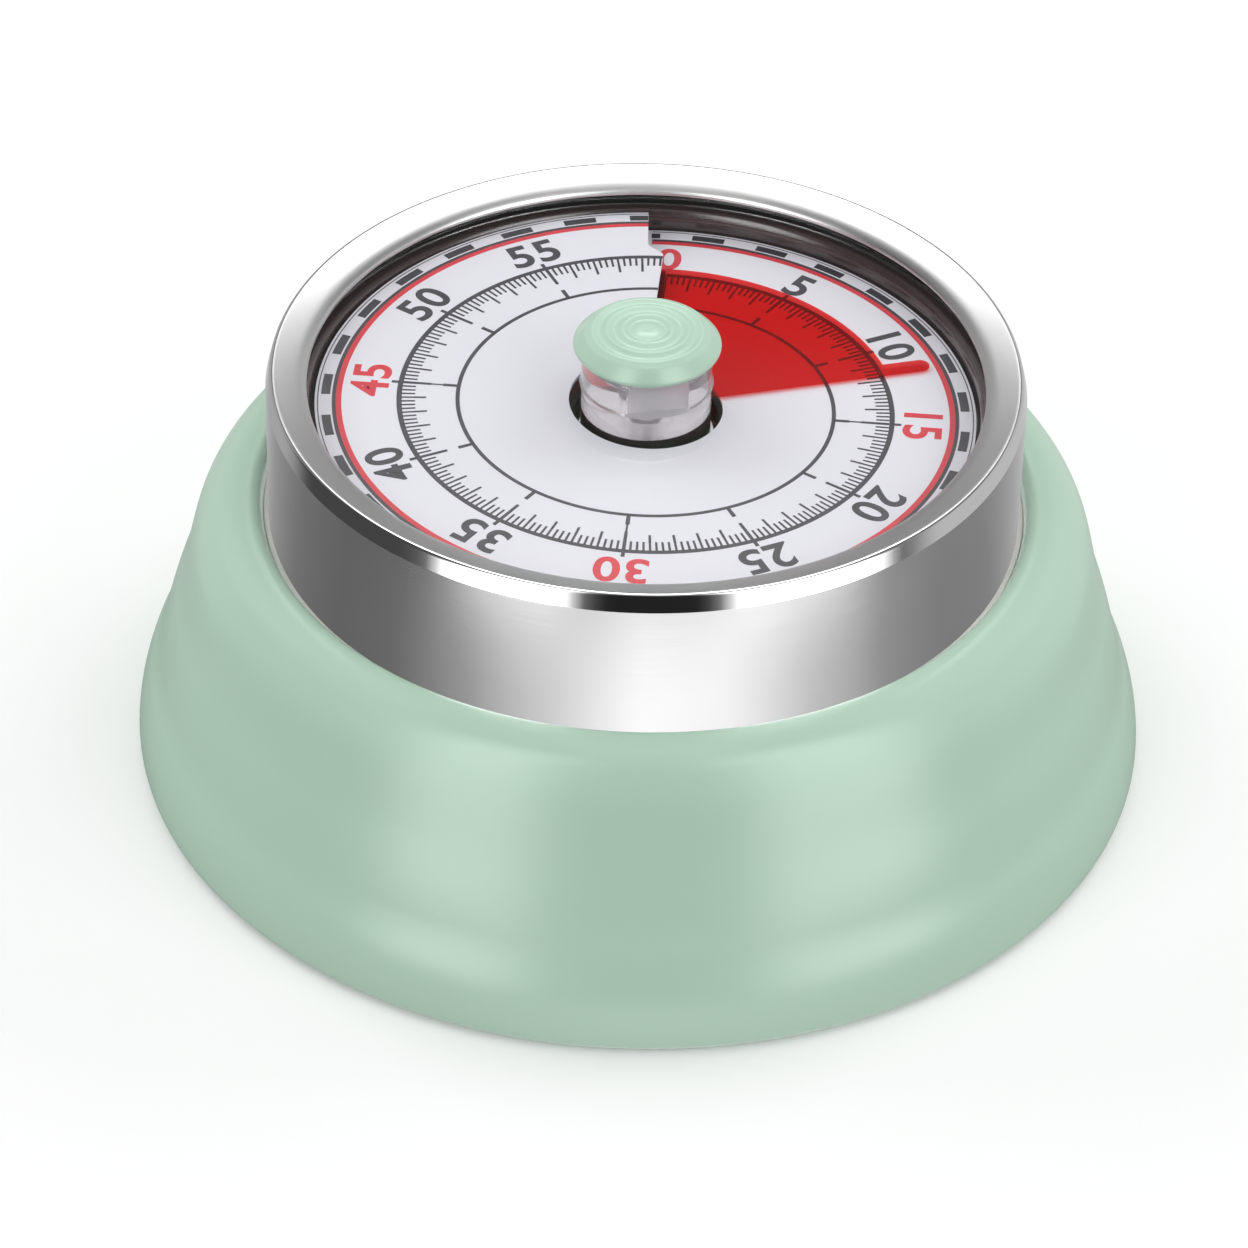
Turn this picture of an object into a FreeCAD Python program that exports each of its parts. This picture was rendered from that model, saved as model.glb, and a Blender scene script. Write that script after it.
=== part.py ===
import FreeCAD, Part
import Sketcher
import math
import os

# Wind-up kitchen timer: a domed base, a turning steel ring with a clear window and a centre knob,
# a printed helical dial with a red film that threads through its slit, and a clockwork movement
# with a bell. Millimetres, +Z up, origin at the middle of the surface that the timer stands on.

V = FreeCAD.Vector
Z_AXIS = V(0, 0, 1)
doc = FreeCAD.newDocument("kitchen_timer")
sheet = doc.addObject("Spreadsheet::Sheet", "sizes")

SIZES = {
    # casing
    "rim_radius": 35.1, "rim_low": 0.3, "base_top": 20.35, "opening_radius": 26.0,
    "deck_top": 19.4, "deck_low": 17.8, "groove_floor": 18.7, "deck_bore": 3.0,
    "plate_seat": 2.2, "plate_seat_radius": 33.1, "base_boss_reach": 28.9, "base_boss_radius": 2.6, "base_boss_top": 12.0,
    "foot_height": 0.6, "foot_inner": 20.0, "foot_outer": 25.5,
    "magnet_inner": 5.0, "magnet_outer": 12.0, "magnet_floor": 0.9,
    # turning head
    "ring_radius": 25.6, "ring_low": 19.12, "ring_shoulder": 29.07, "ring_top": 30.3,
    "ring_sheet": 0.5, "ring_lip_radius": 22.8, "ring_lip_top": 29.5,
    "window_radius": 24.5, "window_top": 29.05, "window_low": 28.15,
    "boss_radius": 4.4, "boss_top": 31.8, "boss_flat": 3.87,
    "cap_radius": 4.96, "cap_edge": 32.15, "cap_top": 33.3,
    "hub_low": 19.8, "hub_step": 25.6, "hub_neck": 2.6,
    # dial, film and their carrier
    "dial_bore": 5.2, "dial_radius": 22.3, "dial_low": 26.42, "dial_pitch": 1.5, "dial_sheet": 0.25,
    "film_radius": 17.0, "film_sheet": 0.12, "film_sink": 0.03, "finger_radius": 20.1,
    "finger_width": 1.2, "carrier_radius": 24.4, "carrier_bore": 22.5, "carrier_top": 27.95,
    "carrier_floor": 24.0, "carrier_floor_sheet": 1.0, "ledge_bore": 21.5,
    # movement
    "plate_radius": 26.0, "plate_sheet": 0.8, "back_plate_low": 6.4, "front_plate_low": 14.4,
    "pillar_reach": 24.2, "pillar_radius": 1.3, "train_reach": 16.4, "shaft_radius": 0.6,
    "pivot_radius": 0.35, "arbor_radius": 1.5, "running_gap": 0.03,
    "coarse_module": 0.4, "fine_module": 0.25, "great_teeth": 72, "wheel_teeth": 60, "leaf_teeth": 10,
    "wheel_sheet": 0.6, "leaf_length": 1.3,
    "escape_teeth": 25, "escape_radius": 4.6, "strike_teeth": 12, "strike_radius": 3.2,
    "ratchet_teeth": 16, "ratchet_radius": 4.5, "balance_radius": 5.2, "balance_bore": 4.2,
    "pin_radius": 0.2, "cam_radius": 6.0, "cam_notch": 0.8, "stop_radius": 11.2, "stop_half": 0.4,
    "bell_radius": 17.5, "bell_sheet": 0.7, "bell_low": 2.9, "bell_top": 5.6,
    "hammer_length": 8.0, "hammer_head": 1.2,
    "spring_radius": 8.0, "spring_sheet": 0.25, "spring_low": 9.8, "spring_top": 12.6,
}
for row, (alias, number) in enumerate(SIZES.items(), start=1):
    sheet.set(f"A{row}", alias)
    sheet.set(f"B{row}", str(number))
    sheet.setAlias(f"B{row}", alias)
doc.recompute()

# Angles, in degrees. Plan angles run anticlockwise from +X; dial angles clockwise from +Y.
DIAL_ZERO = 4.2
READING = 71.0
SLIT_HALF = 0.5
STOP_MARGIN = 5.0
FLAT_TURN = 12.0
PRESSURE = math.radians(25)


def size(alias):
    """The number that the sheet holds under an alias."""
    return float(sheet.get(alias))


def value(formula):
    """A formula over the sheet's aliases, worked out now."""
    return float(sheet.evalExpression(formula))


def bound(formula):
    """The same formula as another object's expression has to spell it."""
    words = sorted(SIZES, key=len, reverse=True)
    for number, word in enumerate(words):
        formula = formula.replace(word, f"@{number}@")
    for number, word in enumerate(words):
        formula = formula.replace(f"@{number}@", f"sizes.{word}")
    return formula


def polar(radius, degrees):
    """A point in plan from its distance and its plan angle."""
    turn = math.radians(degrees)
    return V(radius * math.cos(turn), radius * math.sin(turn), 0)


def plan_angle(dial_angle):
    """The plan angle of a dial angle."""
    return 90.0 - DIAL_ZERO - dial_angle


# ---------------------------------------------------------------- sketching helpers

def new_body(name):
    body = doc.addObject("PartDesign::Body", name)
    body.Label = name
    return body


def origin_part(body, role):
    return next(item for item in body.Origin.OriginFeatures if item.Role == role)


def new_sketch(body, role="XY_Plane", height=None):
    """A sketch on one of the body's own origin planes, lifted to a height given as a formula."""
    sketch = body.newObject("Sketcher::SketchObject", f"{body.Name}_outline")
    sketch.AttachmentSupport = (origin_part(body, role), [""])
    sketch.MapMode = "FlatFace"
    if height is not None:
        sketch.setExpression(".AttachmentOffset.Base.z", bound(height))
    return sketch


def fix(sketch, kind, item, formula):
    """One dimension of a sketch, tied to the sheet."""
    index = sketch.addConstraint(Sketcher.Constraint(kind, *item, value(formula)))
    sketch.setExpression(f"Constraints[{index}]", bound(formula))


def outline(sketch, corners):
    """A closed outline. Each corner is (x formula, y formula) and, where the side that leaves it
    is round, a third number: how far that side bulges to its right."""
    spots = [V(value(corner[0]), value(corner[1]), 0) for corner in corners]
    for index, corner in enumerate(corners):
        here, there = spots[index], spots[(index + 1) % len(spots)]
        if len(corner) == 3:
            along = there - here
            right = V(along.y, -along.x, 0).normalize()
            middle = (here + there) * 0.5 + right * corner[2]
            side = Part.Arc(here, middle, there)
        else:
            side = Part.LineSegment(here, there)
        sketch.addGeometry(side, False)
    for index, corner in enumerate(corners):
        if len(corner) == 3:
            continue
        if abs(spots[index].x) < 1e-9:
            sketch.addConstraint(Sketcher.Constraint("PointOnObject", index, 1, -2))
        else:
            fix(sketch, "DistanceX", (-1, 1, index, 1), corner[0])
        if abs(spots[index].y) < 1e-9:
            sketch.addConstraint(Sketcher.Constraint("PointOnObject", index, 1, -1))
        else:
            fix(sketch, "DistanceY", (-1, 1, index, 1), corner[1])


def circle(sketch, radius, centre=V(0, 0, 0)):
    """A circle whose radius is a formula."""
    index = sketch.addGeometry(Part.Circle(centre, Z_AXIS, value(radius)), False)
    fix(sketch, "Radius", (index,), radius)


def turned(body, corners):
    """A solid of revolution about the timer's axis, from a half section in x and z."""
    sketch = new_sketch(body, "XZ_Plane")
    outline(sketch, corners)
    feature = body.newObject("PartDesign::Revolution", f"{body.Name}_turned")
    feature.Profile = sketch
    feature.ReferenceAxis = (origin_part(body, "Z_Axis"), [""])
    feature.Angle = 360
    return feature


def padded(body, sketch, length):
    feature = body.newObject("PartDesign::Pad", f"{body.Name}_pad")
    feature.Profile = sketch
    feature.setExpression("Length", bound(length))
    return feature


def pocketed(body, sketch, length, upward=True):
    """A pocket that cuts upward from its sketch, or downward."""
    doc.recompute()
    before = body.Shape.Volume
    feature = body.newObject("PartDesign::Pocket", f"{body.Name}_pocket")
    feature.Profile = sketch
    feature.setExpression("Length", bound(length))
    feature.Reversed = upward
    doc.recompute()
    if body.Shape.Volume > before - 1e-6:
        raise RuntimeError(f"{feature.Name} cut nothing")
    return feature


def patterned(body, feature, count):
    """The feature repeated evenly round the body's own Z axis."""
    pattern = body.newObject("PartDesign::PolarPattern", f"{body.Name}_pattern")
    pattern.Originals = [feature]
    pattern.Axis = (origin_part(body, "Z_Axis"), [""])
    pattern.Angle = 360
    pattern.Occurrences = count
    body.Tip = pattern
    doc.recompute()
    return pattern


def holes(body, radius, spots, height, length, upward=True):
    """Round holes of one size, cut from a height."""
    sketch = new_sketch(body, height=height)
    for spot in spots:
        circle(sketch, radius, spot)
    return pocketed(body, sketch, length, upward)


def posts(body, radius, spots, height, length):
    """Round posts of one size, raised from a height."""
    sketch = new_sketch(body, height=height)
    for spot in spots:
        circle(sketch, radius, spot)
    return padded(body, sketch, length)


def helix(body, corners, pitch_turns):
    """A helical sheet that rises clockwise by one pitch a turn, from a section in x and z."""
    sketch = new_sketch(body, "XZ_Plane")
    outline(sketch, corners)
    doc.recompute()
    feature = body.newObject("PartDesign::AdditiveHelix", f"{body.Name}_helix")
    feature.Profile = sketch
    feature.ReferenceAxis = (origin_part(body, "Z_Axis"), [""])
    feature.Mode = "pitch-height-angle"
    feature.setExpression("Pitch", "sizes.dial_pitch")
    feature.setExpression("Height", f"sizes.dial_pitch * {pitch_turns:.6f}")
    feature.LeftHanded = True
    return feature


def turn_to(body, degrees, spot=V(0, 0, 0)):
    body.Placement = FreeCAD.Placement(spot, FreeCAD.Rotation(Z_AXIS, degrees))


# ---------------------------------------------------------------- casing

def make_base_shell():
    body = new_body("base_shell")
    turned(body, [
        ("rim_radius - 0.4", "rim_low", 0.12),
        ("rim_radius", "rim_low + 0.7", 0.4),
        ("rim_radius - 1.25", "5.8", 0.25),
        ("rim_radius - 3.25", "12.3", 0.3),
        ("rim_radius - 5.2", "18.4", 0.5),
        ("rim_radius - 7.5", "base_top"),
        ("opening_radius + 0.2", "base_top"),
        ("opening_radius", "base_top - 0.2"),
        ("opening_radius", "groove_floor"),
        ("carrier_radius + 0.3", "groove_floor"),
        ("carrier_radius + 0.3", "deck_top"),
        ("deck_bore", "deck_top"),
        ("deck_bore", "deck_low"),
        ("27.3", "deck_low"),
        ("28.2", "deck_low - 1.2"),
        ("29.9", "12.3"),
        ("31.6", "5.8"),
        ("31.8", "plate_seat"),
        ("plate_seat_radius", "plate_seat"),
        ("plate_seat_radius", "rim_low"),
    ])
    base_spots = [polar(size("base_boss_reach"), angle) for angle in (30, 150, 270)]
    posts(body, "base_boss_radius", base_spots, "plate_seat", "base_boss_top - plate_seat")
    move_spots = [polar(size("pillar_reach"), angle) for angle in (60, 180, 300)]
    posts(body, "2.0", move_spots, "front_plate_low + plate_sheet",
          "deck_low - front_plate_low - plate_sheet + 0.2")
    holes(body, "0.9", base_spots, "plate_seat", "8")
    holes(body, "0.7", move_spots, "front_plate_low + plate_sheet", "2.2")
    carrier_spots = [polar(14, angle) for angle in (30, 150, 270)]
    holes(body, "1.1", carrier_spots, "deck_low - 0.1", "2")


def make_base_plate():
    body = new_body("base_plate")
    turned(body, [
        ("0", "foot_height"),
        ("plate_seat_radius - 0.1", "foot_height"),
        ("plate_seat_radius - 0.1", "plate_seat"),
        ("magnet_outer + 0.1", "plate_seat"),
        ("magnet_outer + 0.1", "magnet_floor"),
        ("magnet_inner - 0.1", "magnet_floor"),
        ("magnet_inner - 0.1", "plate_seat"),
        ("2.6", "plate_seat"),
        ("2.6", "bell_top - bell_sheet"),
        ("0", "bell_top - bell_sheet"),
    ])
    holes(body, "1.1", [polar(size("base_boss_reach"), angle) for angle in (30, 150, 270)], "0.5", "3")
    holes(body, "0.7", [V(0, 0, 0)], "bell_top - bell_sheet + 0.1", "2.6", upward=False)


def make_ring(name, inner, outer, low, top):
    """A plain flat ring from four formulas."""
    body = new_body(name)
    sketch = new_sketch(body, height=low)
    circle(sketch, outer)
    circle(sketch, inner)
    padded(body, sketch, f"({top}) - ({low})")


def make_screws(name, spots, head_at, head_radius, head_height, shank_radius, shank_length, up=True):
    """Like screws as one group: a cylinder head with a shank that goes up from it, or down."""
    pieces = []
    for number, spot in enumerate(spots):
        head = doc.addObject("Part::Cylinder", f"{name}_head_{number}")
        head.Radius, head.Height = head_radius, head_height
        shank = doc.addObject("Part::Cylinder", f"{name}_shank_{number}")
        shank.Radius, shank.Height = shank_radius, shank_length
        head.Placement.Base = spot
        shank.Placement.Base = spot
        head.setExpression(".Placement.Base.z", bound(head_at))
        rise = f"({head_at}) + {head_height}" if up else f"({head_at}) - {shank_length}"
        shank.setExpression(".Placement.Base.z", bound(rise))
        screw = doc.addObject("Part::Fuse", f"{name}_one_{number}")
        screw.Base, screw.Tool = head, shank
        pieces.append(screw)
    if len(pieces) == 1:
        pieces[0].Label = name
        return pieces[0]
    group = doc.addObject("Part::Compound", name)
    group.Links = pieces
    group.Label = name
    return group


# ---------------------------------------------------------------- turning head

def make_bezel_ring():
    body = new_body("bezel_ring")
    turned(body, [
        ("ring_radius", "ring_low"),
        ("ring_radius - 0.05", "ring_shoulder"),
        ("ring_radius - 0.3", "ring_top - 0.05"),
        ("ring_radius - 0.4", "ring_top", 0.1),
        ("ring_lip_radius + 0.25", "ring_lip_top", 0.1),
        ("ring_lip_radius", "ring_lip_top - 0.25"),
        ("ring_lip_radius", "window_top"),
        ("ring_radius - ring_sheet", "window_top"),
        ("ring_radius - ring_sheet", "ring_low"),
    ])


def make_window_lens():
    body = new_body("window_lens")
    turned(body, [
        ("1.1", "window_low"),
        ("window_radius", "window_low"),
        ("window_radius", "window_top"),
        ("boss_radius", "window_top"),
        ("boss_radius", "boss_top"),
        ("2.3", "boss_top"),
        ("2.3", "boss_top - 1.6"),
        ("1.1", "boss_top - 1.6"),
    ])
    sketch = new_sketch(body, height="window_top")
    outline(sketch, [("boss_flat", "-4"), ("boss_flat + 3", "-4"), ("boss_flat + 3", "4"), ("boss_flat", "4")])
    pocketed(body, sketch, "boss_top - window_top + 1")
    turn_to(body, -90 + FLAT_TURN)


def make_knob_cap():
    body = new_body("knob_cap")
    turned(body, [
        ("0", "boss_top - 0.6"),
        ("2.2", "boss_top - 0.6"),
        ("2.2", "boss_top"),
        ("cap_radius - 0.15", "boss_top"),
        ("cap_radius", "cap_edge", 0.12),
        ("cap_radius - 0.9", "cap_top - 0.45", 0.05),
        ("2.7", "cap_top - 0.2", 0.06),
        ("1.4", "cap_top - 0.08", 0.06),
        ("0.3", "cap_top"),
        ("0", "cap_top"),
    ])


def make_film_hub():
    body = new_body("film_hub")
    turned(body, [
        ("arbor_radius", "hub_low"),
        ("hub_neck", "hub_low"),
        ("hub_neck", "hub_step"),
        ("boss_radius", "hub_step"),
        ("boss_radius", "window_low"),
        ("1.1", "window_low"),
        ("1.1", "27"),
        ("arbor_radius", "27"),
    ])


def make_red_film():
    """A helical film that starts low just past the reading and ends high on it, with a finger."""
    body = new_body("red_film")
    low = "dial_low - film_sink - film_sheet"
    sweep = 1 - 2 * SLIT_HALF / 360
    helix(body, [
        ("boss_radius", low),
        ("film_radius", low),
        ("film_radius", "dial_low - film_sink"),
        ("boss_radius", "dial_low - film_sink"),
    ], sweep)
    sketch = new_sketch(body, height=f"{low} + dial_pitch * {sweep:.6f}")
    edge = f"film_radius * sin({2 * SLIT_HALF} deg)"
    outline(sketch, [
        ("film_radius - 1", edge),
        ("finger_radius - finger_width / 2", edge, 0.55),
        ("finger_radius - finger_width / 2", f"{edge} + finger_width"),
        ("film_radius - 1", f"{edge} + finger_width"),
    ])
    padded(body, sketch, "film_sheet")
    # the end of the film lies SLIT_HALF short of the reading
    turn_to(body, plan_angle(READING + SLIT_HALF))


# ---------------------------------------------------------------- dial

def make_dial():
    body = new_body("dial")
    helix(body, [
        ("dial_bore", "dial_low - dial_sheet"),
        ("dial_radius", "dial_low - dial_sheet"),
        ("dial_radius", "dial_low"),
        ("dial_bore", "dial_low"),
    ], 1 - 2 * SLIT_HALF / 360)
    turn_to(body, plan_angle(SLIT_HALF))


def make_dial_carrier():
    body = new_body("dial_carrier")
    turned(body, [
        ("3.4", "carrier_floor"),
        ("carrier_bore", "carrier_floor"),
        ("carrier_bore", "deck_top"),
        ("carrier_radius", "deck_top"),
        ("carrier_radius", "carrier_top"),
        ("carrier_bore", "carrier_top"),
        ("carrier_bore", "carrier_floor + carrier_floor_sheet"),
        ("3.4", "carrier_floor + carrier_floor_sheet"),
    ])
    ledge_top = "dial_low - dial_sheet - 0.02"
    helix(body, [
        ("ledge_bore", f"{ledge_top} - 0.8"),
        ("carrier_bore + 0.3", f"{ledge_top} - 0.8"),
        ("carrier_bore + 0.3", ledge_top),
        ("ledge_bore", ledge_top),
    ], 1 - 2 * SLIT_HALF / 360)
    # the body is turned so that its ledge starts with the dial, so its screws turn back
    start = plan_angle(SLIT_HALF)
    spots = [polar(14, angle - start) for angle in (30, 150, 270)]
    posts(body, "2.0", spots, "deck_top", "carrier_floor - deck_top + 0.2")
    holes(body, "0.8", spots, "deck_top", "4")
    turn_to(body, start)


# ---------------------------------------------------------------- gear teeth

def involute(angle):
    return math.tan(angle) - angle


def gear_gap(sketch, teeth, module, tip):
    """The space between two teeth, centred on the sketch's x axis. Each flank is two arcs through
    points of the involute, the root and the mouth past the tip circle are arcs."""
    pitch = teeth * module / 2
    base = pitch * math.cos(PRESSURE)
    root = pitch - 1.05 * module
    thinning = 0.12 * module

    def half_gap(radius):
        lean = math.acos(min(1.0, base / radius))
        tooth = (math.pi * module / 2 - thinning) / (2 * pitch) + involute(PRESSURE) - involute(lean)
        return math.degrees(math.pi / teeth - tooth)

    form = max(base, root)
    mouth = tip + 0.15 * module
    radii = (form, (form + pitch) / 2, pitch, (pitch + mouth) / 2, mouth)
    left, right = ([polar(radius, side * half_gap(radius)) for radius in radii] for side in (1, -1))
    low_left, low_right = (polar(root, side * half_gap(form)) for side in (1, -1))
    sides = [Part.Arc(*right[:3]), Part.Arc(*right[2:]), Part.Arc(right[4], V(mouth, 0, 0), left[4]),
             Part.Arc(left[4], left[3], left[2]), Part.Arc(left[2], left[1], left[0]),
             Part.Arc(low_left, V(root, 0, 0), low_right)]
    if form > root + 1e-6:
        sides += [Part.LineSegment(left[0], low_left), Part.LineSegment(low_right, right[0])]
    for side in sides:
        sketch.addGeometry(side, False)


def saw_gap(sketch, teeth, tip, depth):
    """The space behind one pointed tooth: a steep face, a flat root and a long back."""
    step = 360 / teeth
    mouth = tip + 0.3
    spots = [polar(mouth, -0.5), polar(tip - depth, 0), polar(tip - depth, 0.3 * step),
             polar(tip, 0.93 * step), polar(mouth, 0.93 * step)]
    for here, there in zip(spots, spots[1:] + spots[:1]):
        sketch.addGeometry(Part.LineSegment(here, there), False)


def toothed_disc(name, tip, gap, teeth, low, sheet_length, bore):
    """A toothed wheel about its own axis: a blank, one gap repeated, and a bore."""
    body = new_body(name)
    sketch = new_sketch(body, height=low)
    circle(sketch, tip)
    circle(sketch, bore)
    padded(body, sketch, sheet_length)
    cutter = new_sketch(body, height=low)
    gap(cutter)
    patterned(body, pocketed(body, cutter, sheet_length), int(value(teeth)))
    return body


def crossings(body, inner, outer, count, low, length, rim_angle):
    """Windows between the spokes of a wheel."""
    sketch = new_sketch(body, height=low)
    half = rim_angle / 2
    corners = [polar(inner, -half), polar(outer, -half * 0.93), polar(outer, 0),
               polar(outer, half * 0.93), polar(inner, half), polar(inner, 0)]
    sketch.addGeometry(Part.LineSegment(corners[0], corners[1]), False)
    sketch.addGeometry(Part.Arc(corners[1], corners[2], corners[3]), False)
    sketch.addGeometry(Part.LineSegment(corners[3], corners[4]), False)
    sketch.addGeometry(Part.Arc(corners[4], corners[5], corners[0]), False)
    patterned(body, pocketed(body, sketch, length), count)


def gear_tip(teeth, module):
    return f"({teeth}) * {module} / 2 + 0.8 * {module}"


def make_gear(name, teeth, module, low, sheet_length, bore, windows):
    tip = gear_tip(teeth, module)
    body = toothed_disc(name, tip, lambda cutter: gear_gap(cutter, int(value(teeth)), size(module), value(tip)),
                        teeth, low, sheet_length, bore)
    crossings(body, *windows, 4, low, sheet_length, 68)
    return body


def make_arbor(name, module, leaf_low):
    """A leaf pinion on its shaft, with a thin pivot at each end."""
    teeth = "leaf_teeth"
    tip = gear_tip(teeth, module)
    body = new_body(name)
    sketch = new_sketch(body, height=leaf_low)
    circle(sketch, tip)
    padded(body, sketch, "leaf_length")
    cutter = new_sketch(body, height=leaf_low)
    gear_gap(cutter, int(size(teeth)), size(module), value(tip))
    patterned(body, pocketed(body, cutter, "leaf_length"), int(size(teeth)))
    add_shaft(body)
    return body


def add_shaft(body, spot=V(0, 0, 0)):
    """A shaft between the plates, with its pivots in them."""
    posts(body, "shaft_radius", [spot], "back_plate_low + plate_sheet + 0.1",
          "front_plate_low - back_plate_low - plate_sheet - 0.2")
    posts(body, "pivot_radius", [spot], "back_plate_low + 0.1",
          "front_plate_low - back_plate_low + plate_sheet - 0.2")


def mesh_turn(line_angle, teeth, other_turn, other_teeth):
    """How far a wheel turns so that its teeth fill the gaps of the wheel it meets. The two gaps
    on the line of centres are half a tooth out of step. A turn of 0 has a gap on the plan's x axis."""
    other_step = ((line_angle - other_turn) * other_teeth / 360) % 1
    own_step = (0.5 - other_step) % 1
    return line_angle + 180 - own_step * 360 / teeth


# ---------------------------------------------------------------- movement layout

def neighbour(angle, distance):
    """The plan angle of the next arbor on the train's circle, clockwise from one."""
    return angle - 2 * math.degrees(math.asin(distance / 2 / size("train_reach")))


GREAT, WHEEL, LEAF = (int(size(alias)) for alias in ("great_teeth", "wheel_teeth", "leaf_teeth"))
FINE_DISTANCE = (WHEEL + LEAF) * size("fine_module") / 2
SECOND_ANGLE = 200.0
THIRD_ANGLE = neighbour(SECOND_ANGLE, FINE_DISTANCE)
ESCAPE_ANGLE = neighbour(THIRD_ANGLE, FINE_DISTANCE)
ESCAPE_SPAN = 46.8
PALLET_ROCK = math.radians(3.0)
STRIKE_ANGLE = 300.0
STRIKE_SPAN = 37.5


def pin_circle(wheel_radius, span):
    """How far a pallet pin's middle lies from a wheel's axis at rest, so that a rock of
    PALLET_ROCK leaves the pin just outside the wheel's tips."""
    clear = wheel_radius + size("pin_radius") + size("running_gap")
    return clear / (1 - math.tan(math.radians(span)) * PALLET_ROCK)


ESCAPE_PIN = pin_circle(size("escape_radius"), ESCAPE_SPAN)
BALANCE_ANGLE = neighbour(ESCAPE_ANGLE, ESCAPE_PIN / math.cos(math.radians(ESCAPE_SPAN)))
STRIKE_PIN = pin_circle(size("strike_radius"), STRIKE_SPAN)
HAMMER_REACH = size("train_reach") + STRIKE_PIN / math.cos(math.radians(STRIKE_SPAN))

SECOND, THIRD, ESCAPE, BALANCE, STRIKE = (
    polar(size("train_reach"), angle)
    for angle in (SECOND_ANGLE, THIRD_ANGLE, ESCAPE_ANGLE, BALANCE_ANGLE, STRIKE_ANGLE))
HAMMER = polar(HAMMER_REACH, STRIKE_ANGLE)


def direction(here, there):
    """The plan angle of the way from one point to another."""
    return math.degrees(math.atan2(there.y - here.y, there.x - here.x))


def make_train():
    """The going train: each wheel meets the leaves of the next arbor. The strike arbor's leaves
    meet the great wheel too."""
    make_gear("great_wheel", "great_teeth", "coarse_module", "7.7", "0.8",
              "arbor_radius + running_gap", (6.5, 12.4))
    steps = (
        ("second", SECOND, V(0, 0, 0), "coarse_module", "7.45", "9.4", GREAT),
        ("third", THIRD, SECOND, "fine_module", "9.05", "11.0", WHEEL),
        ("escape", ESCAPE, THIRD, "fine_module", "10.65", None, WHEEL),
    )
    turn = 0.0
    for name, spot, driver, module, leaf_low, wheel_low, driver_teeth in steps:
        turn = mesh_turn(direction(driver, spot), LEAF, turn, driver_teeth)
        turn_to(make_arbor(f"{name}_arbor", module, leaf_low), turn, spot)
        if wheel_low is not None:
            wheel = make_gear(f"{name}_wheel", "wheel_teeth", "fine_module", wheel_low, "wheel_sheet",
                              "shaft_radius", (2.0, 6.3))
            turn_to(wheel, turn, spot)
    strike_turn = mesh_turn(STRIKE_ANGLE, LEAF, 0.0, GREAT)
    turn_to(make_arbor("strike_arbor", "coarse_module", "7.45"), strike_turn, STRIKE)


def make_saw_wheel(name, teeth, radius, depth, low, bore, spot):
    """A thin wheel with pointed teeth, standing at a point in plan."""
    body = toothed_disc(name, radius, lambda cutter: saw_gap(cutter, int(value(teeth)), value(radius), depth),
                        teeth, low, "wheel_sheet", bore)
    turn_to(body, 0, spot)


def bar(body, here, there, width, low, length):
    """A flat bar with round ends between two points."""
    along = (there - here).normalize()
    side = V(-along.y, along.x, 0) * (width / 2)
    tip = along * (width / 2)
    sketch = new_sketch(body, height=low)
    sketch.addGeometry(Part.LineSegment(here - side, there - side), False)
    sketch.addGeometry(Part.Arc(there - side, there + tip, there + side), False)
    sketch.addGeometry(Part.LineSegment(there + side, here + side), False)
    sketch.addGeometry(Part.Arc(here + side, here - tip, here - side), False)
    return padded(body, sketch, length)


def make_anchor(name, spot, wheel_spot, pin_reach, span, plate_low):
    """A rocking staff whose two arms carry the pallet pins on either side of a wheel.
    It is drawn in plan at its real place."""
    body = new_body(name)
    line = direction(wheel_spot, spot)
    ends = [wheel_spot + polar(pin_reach, line + side * span) for side in (-1, 1)]
    for end in ends:
        bar(body, spot, end, 1.2, plate_low, "0.5")
    return body, ends


def make_balance():
    staff, ends = make_anchor("balance_staff", BALANCE, ESCAPE, ESCAPE_PIN, ESCAPE_SPAN, "12.1")
    add_shaft(staff, BALANCE)
    make_pins("pallet_pins", ends, "12.6", 1.3)
    wheel = new_body("balance_wheel")
    sketch = new_sketch(wheel, height="9.9")
    circle(sketch, "balance_radius")
    circle(sketch, "shaft_radius")
    padded(wheel, sketch, "1.5")
    crossings(wheel, 1.6, size("balance_bore"), 3, "9.9", "1.5", 96)
    turn_to(wheel, 20, BALANCE)


def make_pins(name, spots, low, height):
    """Straight steel pins as one group."""
    pins = []
    for number, spot in enumerate(spots):
        pin = doc.addObject("Part::Cylinder", f"{name}_{number}")
        pin.setExpression("Radius", "sizes.pin_radius")
        pin.Height = height
        pin.Placement.Base = V(spot.x, spot.y, float(low))
        pins.append(pin)
    group = doc.addObject("Part::Compound", name)
    group.Links = pins
    group.Label = name
    return group


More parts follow.
